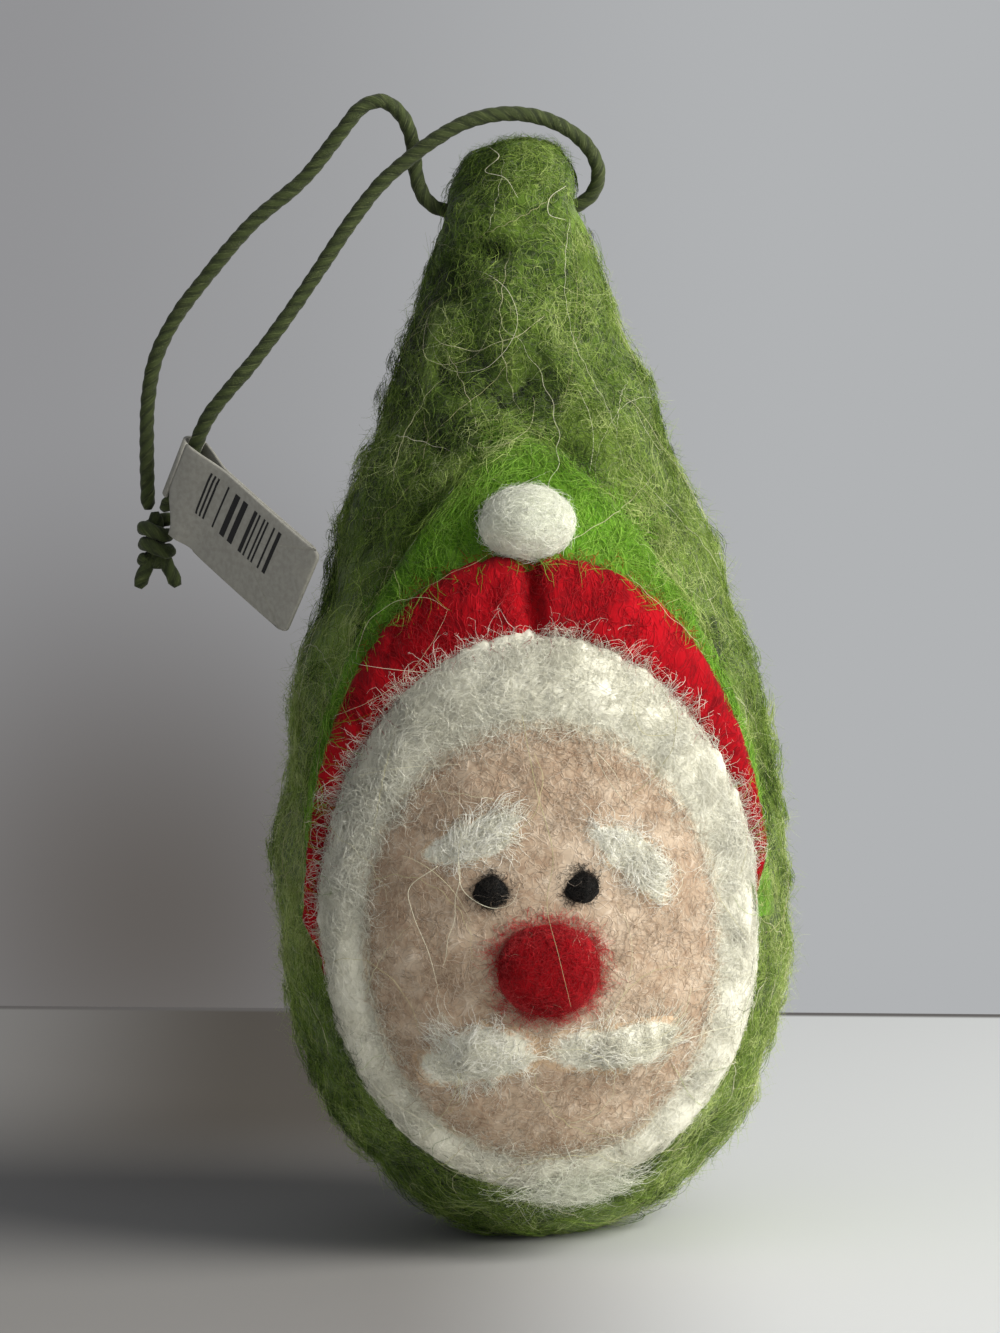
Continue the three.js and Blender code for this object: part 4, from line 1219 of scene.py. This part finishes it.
BAND_RIM = ON_BAND & (BAND_SHARE > 0.86)
BAND_AROUND = ON_BODY & (BAND_SHARE < 1.12) & (ROOT_UP > 0)
BODY_LOCK = Fibre(0.0100, 3.6, 0.0014, MIDDLE_FIBRE)
BAND_LOCK = Fibre(0.0060, 2.2, 0.0006, LOCK_FIBRE)
OVERLAP_LOCK = Fibre(0.0050, 2.2, 0.0009, LOCK_FIBRE)
INWARD = OUTWARD + math.pi
locks("olive_locks", ON_BODY, 460, 15, SWIRL, 1.2, BODY_LOCK, 0.0006, OLIVE_WOOL, LONG_STEPS)
locks("band_locks", BAND_RIM, 110, 14, OUTWARD, 0.8, BAND_LOCK, 0.0006, BRIGHT_WOOL)
locks("olive_over_band", BAND_AROUND, 40, 14, INWARD, 0.9, OVERLAP_LOCK, 0.0005, OLIVE_WOOL)

SHORT_HAZE = Fibre(0.0012, 4.4, 0.0004, HAZE_FIBRE)
ABOVE_BEARD = ROOT_UP > -0.012
for name, roots, share in (
    ("trim_haze", between(RING_SHARE, 0.955, 1.005) & ABOVE_BEARD, 1.5),
    ("trim_fringe", between(RING_SHARE, 1.0, 1.11) & ABOVE_BEARD, 0.03),
    ("beard_haze", between(FACE_SHARE, 0.92, 1.06), 1.2),
    ("beard_fringe", between(FACE_SHARE, 0.82, 1.0), 0.12),
):
    coat(name, roots, share, SWIRL, ANY_WAY, SHORT_HAZE, WHITE_WOOL, 0.15)

TRIM_TOP = between(RING_SHARE, 0.94, 1.0) & (ROOT_UP > -0.004)
BEARD_FOOT = between(RING_SHARE, 0.96, 1.05) & (ROOT_UP < -0.010)
INSIDE_RING = ON_RING & (RING_SHARE < 0.9) & (FACE_SHARE > 1.08)
SPILL = ON_RING & (RING_SHARE > 0.93) & (ROOT_UP < -0.02) & (np.abs(ROOT_ACROSS - 0.004) < 0.005)
FACE_RIM = ON_FACE & (FACE_SHARE > 0.92)
TRIM_LOCK = Fibre(0.0030, 3.4, 0.0006, FINE_FIBRE)
FOOT_FIBRE = Fibre(0.0028, 3.4, 0.0006, FINE_FIBRE)
RING_LOCK = Fibre(0.0048, 2.6, 0.0007, MIDDLE_FIBRE)
SPILT_LOCK = Fibre(0.0056, 3.4, 0.0010, 0.000032)
CHEEK_WISP = Fibre(0.0022, 1.6, 0.0004, MIDDLE_FIBRE)
locks("trim_locks", TRIM_TOP, 110, 10, OUTWARD, 0.9, TRIM_LOCK, 0.0005, WHITE_WOOL)
coat("beard_foot", BEARD_FOOT, 1.6, OUTWARD, 1.3, FOOT_FIBRE, WHITE_WOOL, 0.2, False)
locks("ring_locks", INSIDE_RING, 200, 14, ROUND, 0.6, RING_LOCK, 0.0006, WHITE_WOOL)
locks("spilt_locks", SPILL, 66, 14, OUTWARD, 1.1, SPILT_LOCK, 0.0012, BALL_WOOL, hang=0.0035)
coat("cheek_wisps", FACE_RIM, 0.5, OUTWARD, 0.9, CHEEK_WISP, SKIN_WOOL, 0.1, False)


# Coats of the tufts and balls on the face and the hat
TUFT_CURL = 3.6
TUFT_SPREAD = 0.9


def bean_coat(name, bean, share, fibre, wool, inner, outer, stand=0.1, burst=False):
    """Fibres along a tuft, or bursting out of it, between two shares of its size."""
    heading = np.arctan2(ROOT_UP - bean.up, ROOT_ACROSS - bean.across) if burst else one_way(bean.lean)
    roots = between(share_on(bean), inner, outer)
    coat(name, roots, share, heading, TUFT_SPREAD, fibre, wool, stand, not burst)


TUFT_COATS = (
    ("fibres", 1.2, Fibre(0.0030, TUFT_CURL, 0.0008, 0.00005), TUFT_WOOL, 0.0, 0.92, 0.08),
    ("haze", 1.2, Fibre(0.0016, TUFT_CURL, 0.0004, FINE_FIBRE), TUFT_WOOL, 0.6, 1.04),
    ("wisps", 0.06, Fibre(0.0018, TUFT_CURL, 0.0003, FINE_FIBRE), TUFT_WOOL, 1.0, 1.3),
)
EYE_COATS = (
    ("fibres", 4.0, Fibre(0.0014, TUFT_CURL, 0.0005, MIDDLE_FIBRE), BLACK_WOOL, 0.0, 1.05),
    ("haze", 3.0, Fibre(0.0012, TUFT_CURL, 0.0004, FINE_FIBRE), BLACK_WOOL, 0.7, 1.15, 0.3, True),
)
NOSE_COATS = (
    ("haze", 5.0, Fibre(0.0020, TUFT_CURL, 0.0010, FINE_FIBRE), ROSE_WOOL, 0.82, 1.08, 0.6, True),
    ("wisps", 1.6, Fibre(0.0024, TUFT_CURL, 0.0004, FINE_FIBRE), ROSE_WOOL, 0.95, 1.2, 0.1, True),
)
TUFT_LOCK = Fibre(0.0036, 1.6, 0.0009, 0.00005)
FLICK_LOCK = Fibre(0.0040, 1.0, 0.0005, 0.000036)


def bean_coats(name, bean, coats):
    for kind, *details in coats:
        bean_coat(f"{name}_{kind}", bean, *details)


def tuft_coats(name, bean):
    bean_coats(name, bean, TUFT_COATS)
    heart = share_on(bean) < 0.8
    locks(f"{name}_locks", heart, 18, 12, one_way(bean.lean), 0.4, TUFT_LOCK, 0.0004, TUFT_WOOL)


for side, brow, half, eye in (
    ("left", LEFT_BROW, LEFT_MOUSTACHE, LEFT_EYE), ("right", RIGHT_BROW, RIGHT_MOUSTACHE, RIGHT_EYE),
):
    tuft_coats(f"{side}_brow", brow)
    tuft_coats(f"{side}_moustache", half)
    bean_coats(f"{side}_eye", eye, EYE_COATS)
LEFT_HALF, RIGHT_HALF = (share_on(bean) < 1 for bean in (LEFT_MOUSTACHE, RIGHT_MOUSTACHE))
for name, roots, way in (
    ("droop", LEFT_HALF & (np.abs(ROOT_ACROSS + 0.0066) < 0.0025) & (ROOT_UP < -0.0115), -105),
    ("left_flick", LEFT_HALF & (ROOT_ACROSS < -0.0088), 140),
    ("right_flick", RIGHT_HALF & (ROOT_ACROSS > 0.0100), 22),
):
    locks(f"{name}_locks", roots, 12, 14, one_way(way), 0.2, FLICK_LOCK, 0.0006, TUFT_WOOL)
bean_coats("nose", NOSE, NOSE_COATS)


def ball_coat(name, bean, place, count, fibre, wool):
    """Fibres over a ball, from its crest down to its seat."""
    def surface(angle, reach, lift):
        polar = np.clip(reach / bean.half_length, 0, 1.5)
        swell = 1 + lift / bean.half_length
        across = swell * bean.half_length * np.sin(polar) * np.cos(angle)
        rise = swell * bean.half_width * np.sin(polar) * np.sin(angle)
        return place(across, rise, swell * ball_height(bean, np.sin(polar)))

    def radius_of(reach):
        return bean.half_length * np.sin(np.clip(reach / bean.half_length, 0.1, 1.5))

    angle = rng.uniform(0, 2 * math.pi, count)
    reach = bean.half_length * np.arccos(rng.uniform(0.08, 1, count))
    heading = rng.uniform(0, 2 * math.pi, count)
    stands = rng.uniform(size=(count, 1)) < 0.45
    lift = np.where(stands, standing(count, 2.5 * fibre.height), lying(count, fibre.height)) + ROOT_DEPTH
    lengths = fibre.length * rng.uniform(*LENGTHS, count)
    paths = wander(surface, radius_of, angle, reach, heading, lengths, curls(count, fibre.curl), lift)
    tones = tone_of(paths[:, 0], len(wool.looks))
    loose(name, paths, fibre.thickness * rng.uniform(*THICKNESSES, count), tones, wool)


ball_coat("pompom_fibres", POMPOM, on_band, 1600, Fibre(0.0030, 1.6, 0.0004, 0.000042), BALL_WOOL)
ball_coat("nose_fibres", NOSE, on_face(NOSE), 1800, Fibre(0.0024, 1.6, 0.0004, 0.000042), RED_WOOL)


# Long pale hairs that stray over the felt
HAIR_STEPS = 40
HAIR_LIFT = 0.00025
HAIR_CLEAR = (0.0032, 0.0032, 0.0062)
CLEAR_BEANS = (LEFT_EYE, RIGHT_EYE, NOSE)
CLEAR_PLACES = np.array([over_front(bean.across, bean.up, FACE_CROWN) for bean in CLEAR_BEANS])
BODY_HAIR = Fibre(0.018, 2.2, 0.0008, 0.00005)
FACE_HAIR = Fibre(0.014, 2.2, 0.0008, 0.00005)


def stray_hairs(name, count, roots, fibre):
    chosen = rng.choice(np.flatnonzero(roots & ~AT_MOUTH), count, replace=False)
    heading = rng.uniform(0, 2 * math.pi, count)
    lift = lying(count, fibre.height, HAIR_STEPS) + HAIR_LIFT
    lengths = fibre.length * rng.uniform(0.4, 1.4, count)
    bends = curls(count, fibre.curl) * (1, 0.3, 1, 1)
    place = ROOT_ANGLE[chosen], ROOT_REACH[chosen]
    paths = wander(over_felt, radius_at, *place, heading, lengths, bends, lift)
    away = np.linalg.norm(paths[:, :, None] - CLEAR_PLACES, axis=-1)
    paths = paths[(away > HAIR_CLEAR).all(axis=(1, 2))]
    tones = rng.integers(0, len(PALE_WOOL.looks), len(paths))
    loose(name, paths, fibre.thickness * rng.uniform(0.8, 1.3, len(paths)), tones, PALE_WOOL)


stray_hairs("pale_hairs", 250, ON_BODY | ON_BAND, BODY_HAIR)
stray_hairs("face_hairs", 40, ON_FACE | ON_RING, FACE_HAIR)


# Hairs that lie where the photograph shows them, each as a few pixels along it
FOREHEAD_HAIR = [(522, 715), (536, 788), (553, 856), (547, 905), (559, 957), (571, 1007)]
TEMPLE_HAIR = [(626, 803), (608, 780), (595, 752), (614, 772), (623, 792)]
EYE_HAIR = [(458, 861), (463, 890), (491, 908), (512, 903), (520, 884)]
CHEEK_HAIR = [(438, 866), (409, 889), (413, 914), (429, 954), (440, 997)]
TIP_HAIR = [(489, 147), (499, 156), (485, 171), (505, 178), (518, 198)]
NECK_HAIR = [(566, 186), (550, 198), (549, 214), (566, 220)]
PLACED_HAIRS = (FOREHEAD_HAIR, TEMPLE_HAIR, EYE_HAIR, CHEEK_HAIR, TIP_HAIR, NECK_HAIR)
PLACED_TONES = np.array([0, 2, 2, 2, 2, 2])
PLACED_THICKNESS = 0.000075
PLACED_HOVER, PLACED_WAVE = 0.0010, 0.0003
AIM_ROUNDS = 60
AIM_SHARE = 0.8


def camera_axes():
    """Right, up and back of the camera."""
    level = math.cos(CAMERA_ELEVATION)
    back = np.array([
        math.sin(CAMERA_AZIMUTH) * level, -math.cos(CAMERA_AZIMUTH) * level, math.sin(CAMERA_ELEVATION),
    ])
    right = unit(np.cross((0, 0, 1), back))
    up = np.cross(back, right)
    turn, tilt = math.cos(CAMERA_ROLL), math.sin(CAMERA_ROLL)
    return right * turn - up * tilt, right * tilt + up * turn, back


def picture_hair(pixels, steps=60):
    """A path over the felt that the camera sees along the given pixels."""
    right, up, back = camera_axes()
    route = centripetal([(*pixel, 0) for pixel in pixels])
    route = spaced(route, length_of(route) / (steps - 1.5))[:steps, :2]
    across = np.zeros(len(route))
    rise = np.zeros(len(route))
    hover = PLACED_HOVER + PLACED_WAVE * np.sin(np.linspace(0, 3 * math.pi, len(route)))
    for _ in range(AIM_ROUNDS):
        points = over_felt(across / BELLY_RADIUS, reach_of(FACE_HEIGHT + rise), hover)
        away = points - np.array(CAMERA_TARGET)
        scale = PIXELS_PER_METRE * CAMERA_DISTANCE / (CAMERA_DISTANCE - away @ back)
        across = across + AIM_SHARE * ((route[:, 0] - TARGET_PIXEL[0]) / scale - away @ right)
        rise = rise + AIM_SHARE * ((TARGET_PIXEL[1] - route[:, 1]) / scale - away @ up)
    return points


placed_hairs = np.array([picture_hair(route) for route in PLACED_HAIRS])
loose("placed_hairs", placed_hairs, np.full(len(placed_hairs), PLACED_THICKNESS), PLACED_TONES, PALE_WOOL)


# Cord
CORD_STEP = 0.00035
CORD_POINTS = 20
CORD_PLIES = 3
PLY_PITCH = 0.0048
PLY_DEPTH = 0.10
CORD_FILL = 0.92
CORD_RADIUS = CORD_DIAMETER / 2
HELD_HALF = 0.004


def carried_frames(path):
    """Directions along, beside and over a path, carried along it without twist."""
    ahead = np.gradient(path, axis=0)
    ahead /= np.linalg.norm(ahead, axis=1)[:, None]
    side = np.cross(ahead[0], (0.31, 0.52, 0.79))
    sides = []
    for direction in ahead:
        side = side - direction * (side @ direction)
        side = side / np.linalg.norm(side)
        sides.append(side)
    sides = np.array(sides)
    return sides, np.cross(ahead, sides)


def twisted(path):
    """Points and faces of a cord of twisted plies with rounded ends."""
    path = spaced(path, CORD_STEP)
    side, over = carried_frames(path)
    run = CORD_STEP * np.arange(len(path))[:, None]
    around = np.linspace(0, 2 * math.pi, CORD_POINTS, endpoint=False)[None]
    twist = around - 2 * math.pi * run / PLY_PITCH
    ply = 0.5 + 0.5 * np.cos(CORD_PLIES * twist)
    fuzz = 0.04 * lumps(path, 0.0011, 11)[:, None]
    bevel = np.minimum(1, 0.55 + 0.45 * np.minimum(run, run[-1] - run) / (2 * CORD_STEP))
    size = CORD_RADIUS * (CORD_FILL - PLY_DEPTH * (1 - ply) ** 1.5 + fuzz) * bevel
    turn = np.cos(around)[..., None] * side[:, None] + np.sin(around)[..., None] * over[:, None]
    loops = path[:, None] + size[..., None] * turn
    flow = np.stack([run + 0 * around, CORD_RADIUS * (twist % (2 * math.pi)), ply], axis=-1)
    points = np.vstack([loops.reshape(-1, 3), path[:1], path[-1:]])
    flow = np.vstack([flow.reshape(-1, 3), flow[0, :1], flow[-1, :1]])
    return points, skin(len(path), CORD_POINTS, False), flow


def joined(parts):
    """Several meshes' points, faces and flow as one."""
    points, faces, flows, start = [], [], [], 0
    for part_points, part_faces, flow in parts:
        points.append(part_points)
        flows.append(flow)
        faces.extend(f + start for f in part_faces)
        start += len(part_points)
    return np.vstack(points), faces, np.vstack(flows)


def cord_look():
    """Twisted cotton, with painted shade in the grooves between its plies and fine threads along each ply."""
    shader = Shader("olive_cord", roughness=0.8, specular=0.25, sheen=0.1)
    flow = shader.attribute("flow", "Vector")
    ply = shader.node("ShaderNodeSeparateXYZ", {0: flow}).outputs[2]
    threads = shader.noise(shader.stretch(flow, (0.35, 1.6, 0.0)), 0.00042, detail=2.0)
    worn = shader.noise(shader.place(), 0.004, detail=2.0)
    # Painted shade: darker towards the grooves between the plies
    colour = shader.mix(shader.span(ply, 0.0, 0.8), paint(36, 44, 21), paint(58, 68, 34))
    colour = shader.mix(shader.span(threads, 0.5, 0.75, 0, 0.7), colour, paint(98, 106, 66))
    colour = shader.mix(shader.span(worn, 0.5, 0.8, 0, 0.4), colour, paint(54, 59, 33))
    return shader.finish(colour, threads, 0.00008)


CORD = cord_look()


def cord_piece(name, parts, *nodes):
    points, faces, flow = joined(parts)
    return put(build(name, points, faces, [CORD], {"flow": flow}), LOOP, "olive_cord", *nodes)


def knot_paths():
    angle = np.linspace(0, 2 * math.pi * KNOT_TURNS, 120)
    drop = CORD_RADIUS + KNOT_PITCH * angle / (2 * math.pi)
    wobble = 1 + 0.10 * np.sin(1.7 * angle + 0.6)
    wrap = np.column_stack([
        KNOT_MEAN_RADIUS * wobble * np.cos(angle),
        KNOT_MEAN_RADIUS * np.sin(angle),
        -drop + 0.0002 * np.sin(2 * angle),
    ])
    bottom = CORD_DIAMETER + KNOT_PITCH * KNOT_TURNS
    heart = np.array([(0, 0, 0), (0.0002, 0, -bottom / 2), (0, 0, -bottom)])
    tails = []
    for side in (-1, 1):
        start = np.array([side * CORD_RADIUS, 0, -bottom + CORD_RADIUS])
        lean = np.array([side * math.sin(TAIL_SPREAD), 0, -math.cos(TAIL_SPREAD)])
        tails.append(np.array([start - 0.3 * TAIL_LENGTH * lean, start, start + TAIL_LENGTH * lean]))
    return [KNOT_TOP + path for path in (wrap, centripetal(heart), *map(centripetal, tails))]


held_path = centripetal(TUNNEL + np.array([(-HELD_HALF, 0, 0), (0, 0, 0), (HELD_HALF, 0, 0)]))
left_path = centripetal(TUNNEL + np.array(LEFT_STRAND))
right_path = centripetal(TUNNEL + np.array(RIGHT_STRAND))
cord_piece("held_cord", [twisted(held_path)], "cord_in_tip")
left_cord = cord_piece("left_cord", [twisted(left_path)], "cord_left_strand")
right_cord = cord_piece("right_cord", [twisted(right_path)], "cord_right_strand")
knot = cord_piece("tied_knot", [twisted(path) for path in knot_paths()], "cord_knot")


# Label
def label_look():
    """White coated paper, darkened to grey as painted shade, with a block of generic printed bars."""
    shader = Shader("label_paper", roughness=0.55, specular=0.35)
    flow = shader.attribute("flow", "Vector")
    along, face_side, rise = (shader.node("ShaderNodeSeparateXYZ", {0: flow}).outputs[i] for i in range(3))
    bars = shader.node("ShaderNodeTexWhiteNoise", noise_dimensions="1D")
    shader.feed(bars.inputs["W"], shader.math("FLOOR", shader.math("DIVIDE", along, 0.00028)))
    inked = shader.math("GREATER_THAN", bars.outputs["Value"], 0.52)
    for value, low, high in ((along, 0.0040, 0.0165), (rise, -0.0044, 0.0008), (face_side, -1.0, -0.00001)):
        inked = shader.math("MULTIPLY", inked, shader.math("GREATER_THAN", value, low))
        inked = shader.math("MULTIPLY", inked, shader.math("LESS_THAN", value, high))
    pulp = shader.noise(shader.place(), 0.0006, detail=4.0)
    stain = shader.noise(shader.place(), 0.006, detail=2.0)
    # The paper's colour is darkened to grey: painted shade for a label that hangs in the body's shadow
    colour = shader.mix(shader.span(pulp, 0.3, 0.7), paint(152, 150, 143), paint(166, 164, 157))
    colour = shader.mix(shader.span(stain, 0.55, 0.8, 0, 0.35), colour, paint(188, 184, 172))
    colour = shader.mix(inked, colour, paint(26, 25, 27))
    return shader.finish(colour, pulp, 0.00003)


PAPER_LOOK = label_look()


def leaf(root, length, bottom, top, inner, outer):
    """A leaf with rounded outer corners, curved a little, between two distances across the fold."""
    corner = np.linspace(0, math.pi / 2, 7)
    x = np.concatenate([
        np.linspace(root, length - LABEL_CORNER, 24), length - LABEL_CORNER * (1 - np.sin(corner)),
        length - LABEL_CORNER * (1 - np.cos(corner)), np.linspace(length - LABEL_CORNER, root, 24),
        np.full(8, root),
    ])
    z = np.concatenate([
        np.full(24, bottom), bottom + LABEL_CORNER * (1 - np.cos(corner)),
        top - LABEL_CORNER * (1 - np.sin(corner)), np.full(24, top),
        np.linspace(top, bottom, 10)[1:-1],
    ])
    middle_x, middle_z = x.mean(), z.mean()
    spread = np.array([0.25, 0.5, 0.75, 0.97, 1.0, 1.0, 0.97, 0.75, 0.5, 0.25])[:, None]
    depth = np.array([1, 1, 1, 1, 0.85, 0.15, 0, 0, 0, 0])[:, None]
    x = middle_x + (x - middle_x)[None] * spread
    z = middle_z + (z - middle_z)[None] * spread
    y = inner + (outer - inner) * depth + 0 * x
    loops = np.stack([x, y, z], axis=-1)
    ends = np.array([(middle_x, outer, middle_z), (middle_x, inner, middle_z)])
    points = np.vstack([loops.reshape(-1, 3), ends])
    return points, skin(*x.shape, False)


def label_fold(low, high):
    """The half-round fold of the strip behind the cord, from one leaf to the other."""
    turn = np.linspace(0.5, 1.5, 24) * math.pi
    outside = FOLD_RADIUS + PAPER
    section = [(FOLD_RADIUS, high), (outside, high), (outside, low), (FOLD_RADIUS, low)]
    loops = np.array([
        [(radius * math.cos(t), radius * math.sin(t), height) for radius, height in section] for t in turn
    ])
    points = np.vstack([loops.reshape(-1, 3), loops[0].mean(0), loops[-1].mean(0)])
    return points, skin(len(turn), len(section), False)


def opened(points, side):
    """A leaf bent round the cord at its fold, narrower at its lower corner and curled further out."""
    x, y, z = points.T
    bent = y + side * FOLD_RADIUS * smooth(LEAF_OPENING, 0.0, x)
    curl = LEAF_CURL * (x / LABEL_LENGTH) ** 2 + LEAF_RIPPLE * np.sin(z / 0.004)
    narrowed = x + LEAF_NARROWING * smooth(-0.0035, -0.0080, z) * smooth(LEAF_OPENING, 0.0, x)
    return np.column_stack([narrowed, bent + curl * smooth(0.002, 0.008, x), z])


def folded_label():
    front = leaf(0.0, LABEL_LENGTH, -LABEL_DROP, LABEL_RISE, 0.0, -PAPER)
    back_length = LABEL_LENGTH - LABEL_BACK_SHIFT
    back = leaf(0.0, back_length, -LABEL_DROP - LABEL_BACK_SHIFT / 2, LABEL_RISE, LEAF_GAP, PAPER)
    fold = label_fold(LABEL_RISE - FOLD_LENGTH, LABEL_RISE)
    parts = []
    for (points, faces), side in ((front, -1), (back, 1), (fold, 0)):
        shaped = opened(points, side) if side else points
        placed = LABEL_PLACE + shaped @ np.array([LABEL_HANG, LABEL_ACROSS, LABEL_UP])
        parts.append((placed, faces, points))
    points, faces, flow = joined(parts)
    made = build("paper_label", points, faces, [PAPER_LOOK], {"flow": flow})
    return put(made, LABEL, "label_paper", "folded_label")


label = folded_label()


# Camera
def aim_camera():
    data = bpy.data.cameras.new("camera")
    camera = bpy.data.objects.new("camera", data)
    bpy.context.scene.collection.objects.link(camera)
    long_side = max(PICTURE)
    data.sensor_width = SENSOR
    data.lens = PIXELS_PER_METRE * CAMERA_DISTANCE / long_side * SENSOR
    data.shift_x = (PICTURE[0] / 2 - TARGET_PIXEL[0]) / long_side
    data.shift_y = (TARGET_PIXEL[1] - PICTURE[1] / 2) / long_side
    data.clip_start, data.clip_end = 0.02, 20
    right, up, back = camera_axes()
    turn = Matrix(np.column_stack([right, up, back]).tolist())
    place = CAMERA_TARGET + CAMERA_DISTANCE * Vector(back)
    camera.matrix_world = Matrix.LocRotScale(place, turn.to_quaternion(), None)
    bpy.context.scene.camera = camera


aim_camera()


# Floor and light
FLOOR_HALF = 0.6
SHELF_BACK = 0.172
SHELF_SKEW = 0.35
SHADE_VIEW = (-0.0466, 0.992, -0.1155)
WORLD_STRENGTH = 0.33
WINDOW_PLACE = (0.64, -0.38, 0.42)
WINDOW_AIM = (0, 0, 0.05)
WINDOW_SIZE = 0.6
WINDOW_POWER = 10.8


def floor():
    half, skew = FLOOR_HALF, SHELF_SKEW * FLOOR_HALF
    corners = np.array([
        (-half, -half, 0), (half, -half, 0), (half, SHELF_BACK - skew, 0), (-half, SHELF_BACK + skew, 0),
    ])
    shader = Shader("floor", roughness=0.9, specular=0.1)
    side, depth, _ = shader.node("ShaderNodeSeparateXYZ", {0: shader.place()}).outputs
    # Painted shade: the floor seen by the camera is darker to the left, away from the window
    colour = shader.mix(shader.span(side, -0.020, 0.026), paint(148, 146, 146), paint(222, 224, 227))
    # Painted shadow of the ornament on the floor, to its left and back
    shade = shader.math("MULTIPLY", shader.span(side, -0.085, -0.035), shader.span(side, 0.02, -0.01))
    shade = shader.math("MULTIPLY", shade, shader.span(depth, -0.01, 0.09))
    colour = shader.mix(shade, colour, paint(92, 87, 82))
    # Painted shade: a dark line in the gap at the shelf's back edge
    behind = shader.math("ADD", depth, shader.math("MULTIPLY", side, SHELF_SKEW))
    edge = shader.span(behind, SHELF_BACK - 0.005, SHELF_BACK - 0.002)
    colour = shader.mix(edge, colour, paint(108, 105, 105))
    seen = shader.node("ShaderNodeLightPath").outputs["Is Camera Ray"]
    bounce = shader.mix(shader.span(side, -0.06, 0.02), paint(204, 203, 200), paint(242, 241, 238))
    shader.feed(shader.surface.inputs["Base Color"], shader.mix(seen, bounce, colour))
    made = build("floor", corners, [np.array([[0, 1, 2, 3]])], [shader.material])


def lamp(name, place, aim, size, power, colour):
    data = bpy.data.lights.new(name, "AREA")
    data.shape = "DISK"
    data.size = size
    data.energy = power
    data.color = colour[:3]
    made = bpy.data.objects.new(name, data)
    made.location = place
    made.rotation_mode = "QUATERNION"
    made.rotation_quaternion = (Vector(aim) - Vector(place)).to_track_quat("-Z", "Y")
    bpy.context.scene.collection.objects.link(made)


def world_light(strength, light):
    """Even light all round, and a wall that only the camera sees, shaded towards its lower left."""
    world = bpy.data.worlds.new("world")
    bpy.context.scene.world = world
    world.use_nodes = True
    nodes = Nodes(world.node_tree)
    path = nodes.node("ShaderNodeLightPath")
    seen = nodes.math("MAXIMUM", path.outputs["Is Camera Ray"], path.outputs["Is Glossy Ray"])
    seen = nodes.math("MAXIMUM", seen, path.outputs["Is Transmission Ray"])
    view = nodes.node("ShaderNodeTexCoord").outputs["Generated"]
    side = nodes.node("ShaderNodeSeparateXYZ", {0: view}).outputs[0]
    away = nodes.node("ShaderNodeVectorMath", {0: view, 1: SHADE_VIEW}, operation="DISTANCE").outputs["Value"]
    # Painted shade and shadow: the wall darker to the left, and darkest round SHADE_VIEW
    wall = nodes.mix(nodes.span(side, -0.08, 0.10), paint(146, 146, 148), paint(177, 179, 181))
    wall = nodes.mix(nodes.span(away, 0.0, 0.11), paint(98, 94, 91), wall)
    lit = world.node_tree.nodes["Background"]
    lit.inputs["Color"].default_value = light
    lit.inputs["Strength"].default_value = strength
    back = nodes.node("ShaderNodeBackground", {"Color": wall})
    chosen = nodes.node("ShaderNodeMixShader", {0: seen, 1: lit.outputs[0], 2: back.outputs[0]})
    nodes.feed(world.node_tree.nodes["World Output"].inputs["Surface"], chosen.outputs[0])


floor()
world_light(WORLD_STRENGTH, paint(226, 229, 232))
lamp("window", WINDOW_PLACE, WINDOW_AIM, WINDOW_SIZE, WINDOW_POWER, paint(255, 253, 244))
bpy.context.scene.view_settings.view_transform = "Standard"
